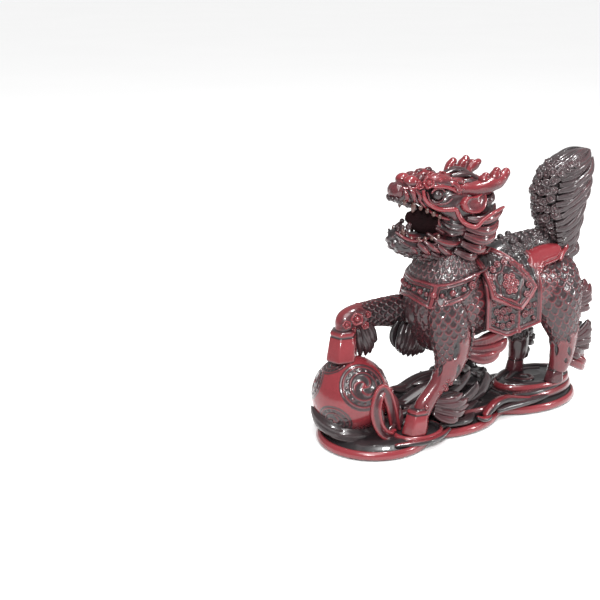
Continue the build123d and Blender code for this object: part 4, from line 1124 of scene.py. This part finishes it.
tongue = Casting()
TONGUE = (
    (-24, 0, 117.5, 4.5, 1.8), (-31, 0, 119, 4.8, 2.2), (-38, 0, 119.8, 4.6, 2.2),
    (-43, 0, 121.5, 3.6, 2.2), (-45.3, 0, 124.4, 2.4, 1.8),
)
flesh = carried(TONGUE, 60, 40)
crease = np.exp(-(flesh[..., 1] / 0.9) ** 2) * ramp(-np.sin(turned(flesh)), -1, 1)
worn = 0.75 * ramp(-flesh[..., 0], 30, 42) * (1 - crease)
tongue.add(flesh - outward(flesh) * (0.8 * crease)[..., None], worn)
tongue.write("curled_tongue", red_resin, "red_resin", "tongue")

TEETH = {  # node: which way the teeth point, then x, y, z and height of each on the right
    "lower_teeth": ((0, 0, 1), (
        (-45.5, 4.6, 122.6, 4.2), (-41.5, 7.4, 120.0, 2.2), (-37.5, 8.6, 119.6, 2.0),
        (-33.5, 9.3, 119.6, 2.0), (-29.5, 9.9, 119.9, 2.0), (-25.5, 10.4, 120.4, 2.0))),
    "upper_teeth": ((-0.1, 0, -1), (
        (-45.0, 4.6, 142.4, 3.0), (-40.2, 6.6, 140.2, 5.0), (-36.2, 7.8, 138.4, 2.2),
        (-32.4, 8.6, 136.4, 2.2), (-28.6, 9.4, 134.2, 2.2), (-25.0, 10.2, 132.4, 2.0))),
}
tooth_resin = resin(
    "tooth_resin", brown=(0.05, 0.025, 0.02), red=(0.12, 0.04, 0.035), bright=(0.2, 0.07, 0.06)
)
for node, (heading, teeth) in TEETH.items():
    row = Casting()
    heading = np.array(heading)
    for side in (-1, 1):
        for x, y, z, tall in teeth:
            root, thick = np.array((x, side * y, z)), 0.9 + 0.08 * tall
            path = [root - heading, root + 0.4 * tall * heading, root + tall * heading + (-0.3, 0, 0)]
            fang, worn = lock(path, thick, thick, (-1, 0, 0), along=10, around=12, root=1.0)
            row.add(fang, 0.45)
    row.write(node + "_row", tooth_resin, "red_resin", node)


# Nose, brows, eyes and ears ----------------------------------------------------------------------
# Small castings glued to the skull: a bulbous nose with curled nostrils, domed brows that end in a
# flame, bulging eyes in ringed sockets, and leaf-shaped ears with a raised red rim.
nose = Casting()
tip = bead((-47.6, 0, 147.2), 5.4, 30, 40, squash=(0.9, 1.15, 0.92))
nose.add(tip + outward(tip) * (0.25 * ripple(tip, 3.0, 61))[..., None], 0.42)
for side in (-1, 1):
    wing = bead((-41.0, side * 4.0, 152.3), 3.9, 22, 30, squash=(1.15, 1, 0.92))
    nose.add(wing, 0.35 + 0.6 * ramp(wing[..., 2], 150.5, 155))
    path = ((-46.5, side * 4.6, 149.6), (-42, side * 7.4, 149.2), (-38, side * 7.4, 149.9),
            (-37, side * 6.4, 152.4), (-39, side * 5.2, 153.6))
    rim, worn = ridge(spline(path, 14), 0.95, along=40, outside=(0, side, 0.01), rise=1.0)
    nose.add(rim, 0.2 + 0.65 * worn)
    nose.add(bead((-34.6, side * 3.7, 153.0), 2.9, 16, 22), 0.5)
    nose.add(bead((-30.2, side * 6.2, 151.4), 1.9, 14, 18, squash=(1.5, 1, 0.9)), 0.75)
    nose.add(bead((-38.2, side * 2.0, 151.6), 2.4, 14, 18), 0.2)
nose.write("bulbous_nose", red_resin, "red_resin", "nose")

for side, name in ((-1, "left_brow"), (1, "right_brow")):
    brow = Casting()
    dome = carried((
        (-34.5, side * 5.4, 150.6, 1.8, 1.2), (-31.5, side * 6.6, 152.2, 3.6, 2.6),
        (-25.5, side * 8.2, 152.6, 4.6, 3.2), (-19, side * 9.6, 150.8, 4.2, 2.8),
        (-14, side * 10.8, 148.4, 2.8, 1.9), (-11, side * 11.4, 146.8, 1.2, 1.0),
    ), 60, 40, outside=(0, side, -0.6))
    brow.add(dome, 0.25 + 0.45 * ramp(dome[..., 2], 150, 155))
    edge = spline(((-34.5, side * 7.6, 149.2), (-30, side * 10.4, 149.6), (-24, side * 12.3, 149.2),
                   (-19.5, side * 13.4, 147.6), (-15.5, side * 14.4, 145.0)), 12)
    rim, worn = ridge(edge, 1.1, along=50, outside=(0, side, 0.01), rise=1.0)
    brow.add(rim, 0.3 + 0.65 * worn)
    for path, width in (
        (((-22, side * 11.6, 151.4), (-18.4, side * 13.4, 150.6), (-15.8, side * 14.6, 147.6),
          (-14.2, side * 14.9, 144)), 1.9),
        (((-20, side * 11, 152.4), (-15, side * 12.6, 152.0), (-11, side * 13.8, 149.4)), 1.6),
        (((-13, side * 15.2, 147.4), (-16.5, side * 14.8, 146.4), (-17.8, side * 14.2, 148.4)), 1.1),
    ):
        strand, worn = lock(path, width, 1.6, (0, side, 0.4), along=24, around=14, grooves=1)
        brow.add(strand, 0.3 + 0.7 * worn)
    brow.write(name + "_ridge", red_resin, "red_resin", name)

eyes = Casting()
for side in (-1, 1):
    centre = on_flank(SKULL, [(-27.3, 144.7)], side, -0.9)[0]
    globe = bead(centre, 3.2, 22, 28)
    # Each eyeball is rubbed red towards its rear: a painted highlight.
    eyes.add(globe, 0.1 + 0.6 * ramp(globe[..., 0], centre[0] + 0.5, centre[0] + 3))
    facing = unit(np.array((-0.15, side, 0.05)))
    for size, start, stop, bared in ((4.1, 0.12, 0.9, 0.5), (4.3, 1.1, 1.8, 0.3)):
        turn = np.linspace(start, stop, 14) * np.pi
        arc = (-np.cos(turn) * size * 1.15, 0 * turn + side * 1.0, np.sin(turn) * size * 0.92)
        lid = centre + np.stack(arc, -1)
        line, worn = ridge(lid, 0.75, along=40, outside=facing, rise=1.0)
        eyes.add(line, 0.1 + bared * worn)
eyes.write("bulging_eyes", red_resin, "red_resin", "eyes")

EAR = (
    (-15.2, 139.6), (-12.6, 142.8), (-7, 142.8), (-2.4, 144.0), (1.6, 146.6), (1.4, 143.0), (0.0, 138.6),
    (-2.8, 135.4), (-7.5, 133.8), (-13.0, 135.6),
)
for side, name in ((-1, "left_ear"), (1, "right_ear")):
    ear = Casting()
    outline = spline(EAR + EAR[:1], 60)
    middle = outline.mean(axis=0)
    rows = []
    for share, out in ((0.2, -1.5), (0.98, -1.4), (1.08, -0.2), (1.02, 1.8), (0.9, 2.2), (0.76, 1.4),
                       (0.62, 0.9), (0.3, 1.0), (0.05, 1.2)):
        flat = middle + (outline[:-1] - middle) * share
        at = on_flank(SKULL, flat, side, 1.4)
        rows.append(at + np.array((0.25, side * 1.0, 0)) * out)
    grid = np.array(rows)
    grid = grid[:, ::-1] if side < 0 else grid
    bared = np.array((0.1, 0.2, 0.7, 0.9, 0.9, 0.5, 0.4, 0.5, 0.55))[:, None]
    ear.add(grid, bared)
    ear.write(name + "_leaf", red_resin, "red_resin", name)


# Snout curls and antlers -------------------------------------------------------------------------
# Six snail curls on each side of the snout are cast with the skull. The two antlers are short
# knotted branches, each a casting of its own that is glued into the brow, painted redder on
# upward faces and darker beneath, as painted light from above.
ANTLER = (  # stem, then tines: rows of (x, y, z, radius)
    ((-19, 9, 148.8, 2.0), (-12, 12, 146.6, 3.4), (-3, 13.6, 146.2, 4.4), (4, 14.6, 147.6, 4.9),
     (10.5, 15.2, 149.8, 4.2), (15.2, 15.2, 153.6, 2.9)),
    ((0.5, 14.2, 148.0, 3.2), (1.2, 14.4, 151.4, 3.2), (1.8, 14.6, 153.0, 2.4)),
    ((7, 15.0, 149.6, 3.4), (8.2, 15.2, 153.4, 3.2), (9.0, 15.2, 155.2, 2.4)),
)
FAR_TINES = (  # the right antler's tines stand taller
    ((-5, 11.5, 149, 2.6), (-3, 12.5, 153.4, 3.2), (-0.6, 12.8, 157.0, 2.4)),
    ((3, 13.2, 149, 2.8), (6.4, 13.4, 154, 3.0), (9, 13.4, 157.2, 2.4)),
    ((10, 14, 149, 2.8), (15, 14, 152.6, 2.9), (18.4, 14, 154.6, 2.3)),
)
snout = Casting()
for side in (-1, 1):
    for place, size in (((-33.0, 9.4, 151.8), 3.4), ((-26.2, 10.2, 152.6), 3.4), ((-19.0, 12.0, 150.4), 3.6),
                        ((-37.5, 7.6, 150.4), 2.4), ((-29.5, 6.0, 154.2), 2.6), ((-22.5, 7.0, 154.4), 2.6)):
        bump, worn = curl(np.array(place) * (1, side, 1), (-0.25, side, 0.45), size, 12, 24)
        snout.add(bump, 0.35 + 0.6 * worn)
snout.write("snout_curls", red_resin, "red_resin")
for side, name in ((-1, "left_antler"), (1, "right_antler")):
    antler = Casting()
    for branch in ANTLER + (FAR_TINES if side > 0 else ()):
        stations = [(x, side * y, z, r, r) for x, y, z, r in branch]
        horn = carried(stations, 50, 30, cap=1.0)
        knot = ripple(horn, 6.0, 63)
        away = outward(horn)
        # Upward faces are rubbed redder and the undersides left dark: painted light from above.
        antler.add(horn + away * (0.3 * knot)[..., None], 0.45 + 0.4 * ramp(away[..., 2], -0.4, 0.8))
    antler.write(name + "_branch", red_resin, "red_resin", name)


# Mane and beard ----------------------------------------------------------------------------------
# The mane is one casting of thick locks that sweep back from the cheeks round the skull. The beard
# is a strip of small warts and curls round the chin. Both are glued on after the jaw.
MANE_MIDDLE = 126.5


def ruff(casting, start, stop, reach, count, width, depth, arc, bared, lift=0.0, droop=-2.0, seed=0):
    """Locks in a ring about the skull. Each runs from x = start to x = stop; reach gives the ring's
    half width and half height at both ends, and arc the angles covered, from the crown down."""
    random = np.random.default_rng(seed)
    for k in range(count):
        share = k / (count - 1)
        spin = np.radians(arc[0] + (arc[1] - arc[0]) * share + random.normal() * 1.5)
        radial = np.array((0, np.sin(spin), np.cos(spin)))
        stray = random.normal(size=2) * 0.9
        path = []
        for t in (0.0, 0.33, 0.66, 1.0):
            wide = reach[0] + (reach[2] - reach[0]) * t + 1.2 * np.sin(np.pi * t)
            high = reach[1] + (reach[3] - reach[1]) * t + 1.2 * np.sin(np.pi * t)
            path.append((start + (stop + stray[0] * 2 - start) * t, wide * radial[1],
                         MANE_MIDDLE + lift + high * radial[2] + droop * np.sin(np.pi * t) + 2.2 * t))
        strand, worn = lock(path, width, depth, radial + (0.1, 0, 0), along=26, around=16, grooves=2)
        casting.add(strand, 0.04 + bared * worn ** 1.5)


mane = Casting()
MANE_CORE = (
    (-10, 0, 126, 15, 17), (-4, 0, 126, 16.5, 18), (1, 0, 127, 14.5, 15.5), (5, 0, 128.5, 10, 11),
    (8, 0, 130, 5, 6),
)
bulk = carried(MANE_CORE, 60, 90)
mane.add(bulk + outward(bulk) * (0.8 * ripple(bulk * (0.4, 1, 1), 6.0, 71))[..., None], 0.04)
MANE_LOCKS = (  # path of a lock on the right side, half width, how far it is rubbed
    (((0, 12, 145), (3, 13, 145), (6, 11.5, 146.5), (9, 9, 149)), 2.4, 0.6),
    (((1, 14, 139.5), (3.5, 16, 139.4), (6.5, 14.5, 141), (9, 11.5, 144)), 2.6, 0.6),
    (((-11, 16.5, 130.5), (-3, 20, 129.6), (6, 19.2, 131), (16.5, 14.5, 134.4)), 3.4, 1.0),
    (((-12, 17, 126), (-4, 20.6, 123.6), (4.5, 19.6, 123.6), (12.5, 15.6, 127)), 3.6, 1.0),
    (((-13, 17, 121.6), (-5, 20.6, 118.6), (3, 19.8, 118.6), (11, 15.6, 122)), 3.6, 1.0),
    (((-14, 16, 116.8), (-7.5, 19.4, 113.6), (-2, 19.2, 113), (3.5, 15.6, 116)), 3.2, 1.0),
    (((-17, 14, 112), (-11, 17.4, 109), (-6, 17, 108.2), (-1.5, 15, 109.8)), 2.8, 0.8),
    (((-1, 12, 136), (4, 12, 136.5), (8, 9, 139), (11, 6, 143)), 3.2, 0.5),
    (((-1, 13, 128), (5, 13, 128), (11, 10, 130), (17, 6, 134.5)), 3.2, 0.6),
    (((-1, 13, 120), (5, 13, 119.5), (10, 10, 121.5), (15, 6.5, 125)), 3.2, 0.6),
    (((-5, 12, 114), (-1, 12, 112.5), (1.5, 9.5, 113), (4, 6.5, 115)), 3.0, 0.6),
    (((0, 4, 141), (4, 4, 142), (7.5, 3, 144.5), (10, 2, 148)), 3.2, 0.45),
    (((0, 4, 132), (5, 4, 132), (10, 3, 134.5), (14, 1.5, 139)), 3.2, 0.5),
    (((0, 4, 120), (6, 4, 119), (11, 3, 120.5), (15, 1.5, 124)), 3.2, 0.5),
)
for side in (-1, 1):
    for path, width, bared in MANE_LOCKS:
        path = np.array(path) * (1, side, 1)
        strand, worn = lock(path, width, 3.0, (0.25, side, 0.1), along=34, around=22, grooves=2, blunt=0.6)
        mane.add(strand, 0.03 + 1.25 * bared * worn ** 1.2)
ruff(mane, -6, 7, (14, 18.0, 10, 15.5), 7, 3.0, 2.4, (150, 210), 0.35, seed=86)
mane.write("flowing_mane", red_resin, "red_resin", "mane")

beard = Casting()
random = np.random.default_rng(91)
WARTS = (
    (-46.2, 125.6), (-48.2, 121.5), (-47.8, 117.4), (-45.8, 113.8), (-42.6, 111.0), (-38.8, 108.8),
    (-34.6, 107.2), (-30.1, 106.0), (-25.6, 105.4),
)
for k, (x, z) in enumerate(spline(WARTS, 20)):
    wide = 2.2 + 6.5 * ramp(k, 0, 14)
    for step in np.linspace(-1, 1, 7 if k % 2 else 6):
        place = (x + 5.5 * step ** 2 * (1 - 0.4 * ramp(k, 0, 16)), step * (wide + 1.5), z + 2.6 * step ** 2)
        beard.add(bead(place + random.normal(size=3) * 0.25, random.uniform(1.15, 1.75), 8, 12),
                  random.uniform(0.08, 0.35))
beard.write("warty_beard", red_resin, "red_resin", "beard")


# Collar ------------------------------------------------------------------------------------------
# A relief band round the neck, as if of stiff leather: two scalloped panels on each flank, with
# double rims, studs and scrolls. It is slipped over the neck before the head is glued on.
collar_resin = resin("collar_resin", brown=(0.047, 0.015, 0.018), red=(0.118, 0.019, 0.024), grime=0.35)
PANEL_JOINT = 40.0  # degrees round from the front
COLLAR_TOP = (
    (0, 94.6), (18, 95.0), (32, 94.6), (40, 94.4), (56, 95.6), (75, 97.8), (92, 99.8), (98, 100),
    (180, 100.2),
)
COLLAR_BOTTOM = (
    (0, 83.4), (18, 82.2), (32, 80.8), (40, 80.0), (56, 81.6), (75, 84), (88, 86.2), (96, 91), (101, 98.6),
    (120, 99.3), (180, 99.4),
)


def along_curve(knots, values):
    """A smooth curve through (value, height) knots."""
    curve = spline(knots, 200)
    return np.interp(values, curve[:, 0], curve[:, 1])


def collar_point(angle, height, out):
    """A point on the neck's outside: angle in degrees from the front, positive on the right."""
    spin = np.radians(angle)
    lean = (height - 92) * 0.28
    return np.stack(np.broadcast_arrays(
        -12.0 + lean - (21.6 + out) * np.cos(spin), (22.8 + out) * np.sin(spin), height
    ), -1)


def rims(distance, *places):
    """Raised lines at the given distances from an edge, as (place, half thickness, height)."""
    return sum(high * np.exp(-((distance - place) / thick) ** 2) for place, thick, high in places)


angle = np.linspace(180, -180, 560)[None]
share = np.linspace(0, 1, 46)[:, None]
top, bottom = along_curve(COLLAR_TOP, np.abs(angle)), along_curve(COLLAR_BOTTOM, np.abs(angle))
height = bottom + (top - bottom) * share
seam = np.abs(np.abs(angle) - PANEL_JOINT) * 0.42
edge = np.minimum(np.minimum(share, 1 - share) * (top - bottom), seam + 0.4)
relief = rims(edge, (0.9, 0.75, 1.3), (3.0, 0.5, 0.7)) - 1.0 * ramp(edge, 3.2, 4.4)
scroll = np.cos(0.9 * np.hypot((np.abs(angle) % 28.5 - 14) * 0.44, height - (top + bottom) / 2)) ** 2
relief = relief + 0.7 * scroll * ramp(edge, 3.6, 4.6)
collar = Casting()
collar.add_shell(collar_point(angle, height, 0.6 + relief), collar_point(angle, height, -2.2),
                 0.08 + 0.62 * ramp(relief, -0.6, 1.2))
for side in (-1, 1):
    for spin, size in ((6, 1.3), (18, 1.7), (29, 1.4), (52, 1.3), (66, 1.9), (81, 1.5)):
        middle = (along_curve(COLLAR_TOP, spin) + along_curve(COLLAR_BOTTOM, spin)) / 2
        place = collar_point(np.array(side * spin), np.array(middle), 0.8)
        collar.add(bead(place, size, 10, 14), 0.6)
    place = collar_point(np.array(side * PANEL_JOINT), np.array(88.0), 1.0)
    collar.add(bead(place, 2.0, 14, 18), 0.75)
    bump, worn = curl(collar_point(np.array(side * 93.0), np.array(93.6), 1.0), (0.1, side, 0.1), 2.4, 12, 22)
    collar.add(bump, 0.2 + 0.6 * worn)
collar.write("panelled_collar", collar_resin, "relief_resin", "collar")


# Saddle ------------------------------------------------------------------------------------------
# A saddle cloth hangs over the back to a hem that dips to a point, and a five-sided flap with a
# raised rosette lies on it. Both are thin relief castings, glued to the trunk, with a pommel on top.
ARCH_LENGTH = 37.0
ARCH_HALF_WIDTH, ARCH_RISE, ARCH_BASE = 22.5, 24.5, 78.0


def saddle_point(x, along, out):
    """A point on the back: `along` is the distance from the spine over an arch and down a flank,
    negative on the left, and `out` the distance off that surface."""
    reach = np.abs(along)
    spin = np.clip(reach / ARCH_LENGTH, 0, 1) * np.pi / 2
    fall = np.maximum(reach - ARCH_LENGTH, 0)
    y = (ARCH_HALF_WIDTH + out) * np.sin(spin) + 0.05 * fall
    z = ARCH_BASE + (ARCH_RISE + out) * np.cos(spin) - fall
    return np.stack(np.broadcast_arrays(x, np.sign(along) * y, z), -1)


def off_arch(z):
    """How far from the spine a height lies."""
    spin = np.arccos(np.clip((np.asarray(z, float) - ARCH_BASE) / ARCH_RISE, 0, 1))
    return spin / (np.pi / 2) * ARCH_LENGTH + np.maximum(ARCH_BASE - z, 0)


def scrollwork(casting, places, sizes, bared, facing=(0, -1, 0.1)):
    """Snail curls, each with a bead in it, set on a panel."""
    for k, (place, size) in enumerate(zip(places, sizes)):
        bump, worn = curl(place, facing, size, 10, 20)
        casting.add(bump, 0.05 + bared * worn)


POINT_X = 24.9  # where the hem of the cloth and the flap come to a point
HEM = ((1, 64.8), (9, 61), (17, 57.8), (25.4, 59.4), (34, 60.8), (42, 62.4))
CLOTH_START, CLOTH_END = 1.0, 42.0
x = np.linspace(CLOTH_START, CLOTH_END, 120)[:, None]
share = np.linspace(-1, 1, 330)[None]
length = off_arch(along_curve(HEM, x))
along = share * length
edge = np.minimum(np.minimum(x - CLOTH_START, CLOTH_END - x), length - np.abs(along))
bar = np.abs(x - POINT_X) + 0 * share
relief = rims(edge, (1.0, 0.8, 1.1), (3.0, 0.45, 0.5)) - 0.7 * ramp(edge, 3.0, 4.2)
relief = relief + np.where(np.abs(along) > 36, rims(bar, (0.0, 0.9, 1.7)), 0)
weave = ripple(np.stack((x + 0 * along, along, 0 * along + x * 0), -1), 5.0, 101)
relief = relief + 0.45 * (1 - np.abs(weave)) ** 3 * ramp(edge, 3.0, 4.0)
cloth = Casting()
cloth.add_shell(saddle_point(x, along, 1.6 + relief), saddle_point(x, along, 0.0),
                0.05 + 0.72 * ramp(relief, -0.5, 1.0))
random = np.random.default_rng(102)
for side in (-1, 1):
    places, sizes = [], []
    for row, z in enumerate((79.5, 74.5, 69.5, 64.8)):
        for step in range(8):
            where = 6.0 + 4.7 * step + 2.3 * (row % 2)
            if where > 38.5 or abs(where - POINT_X) < 2.6 or z < along_curve(HEM, where) + 4.6:
                continue
            places.append(saddle_point(where, side * off_arch(z + random.normal() * 0.4), 1.2))
            sizes.append(random.uniform(1.7, 2.4))
    scrollwork(cloth, places, sizes, 0.6, (0, side, 0.05))
    for where, z in ((12, 71), (20.5, 66), (31, 70), (36, 66.5), (9, 66.5), (28.5, 76), (16, 76)):
        cloth.add(bead(saddle_point(where, side * off_arch(z), 1.6), 1.25, 10, 14), 0.55)
cloth.write("saddle_cloth_relief", collar_resin, "relief_resin", "saddle_cloth")

FLAP_CORNERS = ((-2.0, 0.0), (2.8, 32.5), (POINT_X, 42.0), (37.1, 30.5), (16.0, 0.0))  # x, from the spine
reach = np.linspace(-1, 1, 340)[None] * 41.6
left = np.interp(np.abs(reach), (0, 32.5, 42.0), (-2.0, 2.8, POINT_X))
right = np.interp(np.abs(reach), (0, 30.5, 42.0), (16.0, 37.1, POINT_X))
x = left + (right - left) * np.linspace(0, 1, 130)[:, None]
edge = np.full(x.shape, 99.0)
for (x0, s0), (x1, s1) in zip(FLAP_CORNERS, FLAP_CORNERS[1:]):
    run = np.hypot(x1 - x0, s1 - s0)
    edge = np.minimum(edge, np.abs((x - x0) * (s1 - s0) - (np.abs(reach) - s0) * (x1 - x0)) / run)
ROSETTE = (17.6, 26.5)
from_middle = np.hypot(x - ROSETTE[0], np.abs(reach) - ROSETTE[1])
turn = np.arctan2(np.abs(reach) - ROSETTE[1], x - ROSETTE[0])
cloud = from_middle / (9.6 * (1 + 0.13 * np.cos(5 * turn + 0.8)))
flower = from_middle / (6.2 * (1 + 0.12 * np.cos(6 * turn)))
relief = rims(edge, (1.1, 0.8, 1.5), (3.3, 0.5, 0.8)) - 0.8 * ramp(edge, 3.4, 4.4)
relief = relief + ramp(edge, 2.6, 3.8) * (1.2 * np.exp(-((cloud - 0.93) / 0.10) ** 2)
                                          + 0.9 * np.exp(-((flower - 0.92) / 0.12) ** 2))
veins = ripple(np.stack((x, reach + 0 * x, 0 * x), -1), 4.5, 103)
relief = relief + 0.4 * (1 - np.abs(veins)) ** 3 * ramp(edge, 3.4, 4.4) * (cloud > 1.1)
flap = Casting()
flap.add_shell(saddle_point(x, reach + 0 * x, 3.6 + relief), saddle_point(x, reach + 0 * x, 1.6),
               0.08 + 0.72 * ramp(relief, -0.5, 1.1))
for side in (-1, 1):
    surface, above = (saddle_point(ROSETTE[0], side * ROSETTE[1], out) for out in (0.0, 6.0))
    facing = above - surface
    petals = [(0, 0)] + [(3.7 * np.cos(a), 3.7 * np.sin(a)) for a in np.arange(6) * np.pi / 3]
    places = [saddle_point(ROSETTE[0] + dx, side * (ROSETTE[1] + ds), 3.6) for dx, ds in petals]
    scrollwork(flap, places, [2.4] + [2.2] * 6, 0.9, facing)
    ring = [(13.2 * np.cos(a), 12.0 * np.sin(a)) for a in np.radians(np.arange(10, 370, 24))]
    places = [saddle_point(ROSETTE[0] + dx, side * (ROSETTE[1] + ds), 3.4) for dx, ds in ring
              if 4 < ROSETTE[1] + ds < 34 and 4 < ROSETTE[0] + dx < 31]
    scrollwork(flap, places, [2.1] * len(places), 0.7, facing)
flap.write("saddle_flap_relief", collar_resin, "relief_resin", "saddle_flap")

pommel = Casting()
knob = bead((9.6, -1.5, 106.0), 4.0, 24, 30, squash=(1, 1.6, 0.9))
pommel.add(knob, 0.85)
for side in (-1, 1):
    arc = ((5.5, side * 3, 103.5), (8, side * 6, 105), (13, side * 6.5, 105.5), (17, side * 4, 106.5))
    line, worn = ridge(spline(arc, 10), 1.1, outside=(0, side, 0.5), rise=1.0)
    pommel.add(line, 0.15 + 0.6 * worn)
    for path, width in (
        (((4, side * 6, 101.5), (0, side * 8.5, 101.8), (-4.5, side * 10.5, 101), (-8, side * 12, 102.4)),
         2.3),
        (((4, side * 9, 100.5), (0, side * 11.5, 99.6), (-3.5, side * 13, 98.2)), 2.0),
        (((12, side * 7, 102.8), (17, side * 10.5, 101.4), (21, side * 11.5, 102.6), (23, side * 9.5, 104.6)),
         2.0),
        (((10, side * 9, 101), (14, side * 12.5, 98.6), (19, side * 14, 98.0)), 1.8),
    ):
        leaf, worn = lock(path, width, 1.7, (0, 0.5 * side, 1), along=24, around=16, grooves=1)
        pommel.add(leaf, 0.08 + 0.45 * worn)
pommel.write("saddle_pommel_knob", red_resin, "red_resin", "saddle_pommel")


# Crupper cover and back curls --------------------------------------------------------------------
# A smooth leaf-shaped cover with a wavy double rim lies over the rump. In front of the tail, rows
# of snail curls and beads run along the spine. These are small castings, glued on last.
RUMP_HALF_WIDTH, RUMP_RISE = 20.6, 25.2


def rump(x, side, spin, out):
    """A point over the rump: spin is the angle from the top, and out the distance off it."""
    y = side * (RUMP_HALF_WIDTH + out) * np.sin(spin)
    z = ARCH_BASE + (RUMP_RISE + out) * np.cos(spin)
    return np.stack(np.broadcast_arrays(x + 0 * spin, y, z), -1)


LEAF_LOWER = ((36, 50), (40, 60), (44, 60), (48, 52), (54, 49), (60, 46), (65, 36), (69, 28))
LEAF_UPPER = ((36, 46), (38, 34), (42, 20), (50, 10), (58, 6), (64, 14), (69, 24))
x = np.linspace(36, 68, 110)[:, None]
share = np.linspace(0, 1, 60)[None]
cover = Casting()
for side in (-1, 1):
    low, high = along_curve(LEAF_LOWER, x), along_curve(LEAF_UPPER, x)
    spin = np.radians(low + (high - low) * share)
    edge = (low - high) * share * 0.38
    relief = rims(edge, (0.5, 0.6, 1.2), (2.4, 0.5, 0.9)) + 2.4 * np.sin(np.pi * np.clip(share, 0, 1))
    relief = relief * ramp(x, 36, 40) * ramp(-x, -68, -64)
    outer, inner = rump(x, side, spin, 1.0 + relief), rump(x, side, spin, -4.5)
    if side > 0:
        outer, inner = outer[:, ::-1], inner[:, ::-1]
        relief = relief[:, ::-1]
    cover.add_shell(outer, inner, 0.55 + 0.4 * ramp(relief, 0.4, 2.0))
    tip, worn = ridge(((62, side * 15.4, 96.0), (66, side * 12.8, 99.0), (69.5, side * 11.0, 100.6),
                       (71.2, side * 9.8, 102.6), (69.8, side * 9.0, 104.0)), 1.5, rise=1.0)
    cover.add(tip, 0.4 + 0.5 * worn)
cover.write("crupper_leaves", red_resin, "red_resin", "crupper_cover")

random = np.random.default_rng(111)
BACK_RIDGE = (
    (17, 105.4), (22, 106.6), (28, 109.6), (36, 111), (45, 112.4), (54, 112.8), (62, 109), (66, 104),
)
curls = Casting()
HUMP = [(x, 0, z - 11.5, 10.5 - 3.0 * ramp(x, 34, 46), 11.0) for x, z in spline(BACK_RIDGE, 9)]
mound = carried(HUMP, 50, 60)
curls.add(mound, 0.05)
for k, (x, z) in enumerate(spline(BACK_RIDGE, 15)):
    for step in range(-3, 4):
        swing = (step + 0.5 * (k % 2)) * 0.40
        wide = 10.4 - 3.0 * ramp(x, 34, 46)
        place = np.array((x, wide * np.sin(swing), z - 11.5 + 11.0 * np.cos(swing)))
        facing = (random.normal() * 0.15, np.sin(swing), np.cos(swing))
        bump, worn = curl(place - 0.5 * unit(np.array(facing)), facing, random.uniform(1.9, 2.6))
        curls.add(bump, 0.06 + 0.36 * worn)
for x, y, z in ((31.8, -5.5, 109.2), (38.5, -6.5, 110.0), (31.8, 5.5, 109.2), (38.5, 6.5, 110.0)):
    curls.add(bead((x, y, z), 2.1, 14, 18), 0.2)
curls.write("spine_curls", smoky_resin, "red_resin", "back_curls")


# Studio ------------------------------------------------------------------------------------------
# The camera stands a little above the statue, in front of its left side. A large pale floor, a pale
# surrounding, three softboxes and a wide sun give an even light with soft highlights.
def plain(name, colour, roughness):
    """A matte finish in one colour, with a faint mottle."""
    material, shader, paint = painted(name, Roughness=roughness)
    place = paint.node("TexCoord", out="Object")
    mottle = paint.node("TexNoise", Vector=place, Scale=3.0, Detail=2.0)
    lightest, darkest = colour, tuple(0.97 * part for part in colour)
    stops = ((0.0, darkest), (1.0, lightest))
    give(shader, Base_Color=paint.node("ValToRGB", {"stops": stops}, Fac=mottle))
    return material


FLOOR_REACH = 16.0
FLOOR_LEVEL = -0.0007  # just clear of the felt
floor_mesh = bpy.data.meshes.new("studio_floor")
corners = ((-1, -1), (1, -1), (1, 1), (-1, 1))
places = [(x * FLOOR_REACH, y * FLOOR_REACH, FLOOR_LEVEL) for x, y in corners]
floor_mesh.from_pydata(places, [], [(0, 1, 2, 3)])
floor_mesh.materials.append(plain("pale_floor", (0.95, 0.95, 0.95), 0.9))
studio_floor = bpy.data.objects.new("studio_floor", floor_mesh)
bpy.context.scene.collection.objects.link(studio_floor)

surround = bpy.data.worlds.new("pale_surround")
surround.use_nodes = True
surround.node_tree.nodes["Background"].inputs["Color"].default_value = (1.0, 1.0, 1.0, 1.0)
surround.node_tree.nodes["Background"].inputs["Strength"].default_value = 0.5
bpy.context.scene.world = surround

SOFTBOXES = (  # name, place, width, height, power
    ("key_softbox", (-0.50, -0.60, 0.55), 0.08, 0.08, 6.5),
    ("top_softbox", (0.10, -0.10, 0.90), 0.16, 0.10, 7.5),
    ("side_softbox", (0.60, -0.60, 0.35), 0.08, 0.22, 3.0),
)
AIM = Vector((0, 0, 0.07))  # the middle of the statue
for name, place, width, height, power in SOFTBOXES:
    lamp = bpy.data.lights.new(name, "AREA")
    lamp.shape, lamp.size, lamp.size_y, lamp.energy = "RECTANGLE", width, height, power
    softbox = bpy.data.objects.new(name, lamp)
    softbox.location = place
    softbox.rotation_euler = (AIM - Vector(place)).to_track_quat("-Z", "Y").to_euler()
    bpy.context.scene.collection.objects.link(softbox)
window = bpy.data.lights.new("window_light", "SUN")
window.energy, window.angle = 1.9, 0.6
window_light = bpy.data.objects.new("window_light", window)
window_light.rotation_euler = Vector((0.35, 0.55, -1.0)).to_track_quat("-Z", "Y").to_euler()
bpy.context.scene.collection.objects.link(window_light)

bpy.context.scene.view_settings.view_transform = "Standard"
CAMERA_PLACE = Vector((-0.3483, -0.4523, 0.2696))
CAMERA_HEADING = Vector((0.4439, 0.8348, -0.3256))
lens = bpy.data.cameras.new("camera")
lens.lens, lens.sensor_width, lens.clip_start, lens.clip_end = 60.0, 36.0, 0.01, 50.0
camera = bpy.data.objects.new("camera", lens)
camera.location = CAMERA_PLACE
camera.rotation_euler = CAMERA_HEADING.to_track_quat("-Z", "Y").to_euler()
bpy.context.scene.collection.objects.link(camera)
bpy.context.scene.camera = camera
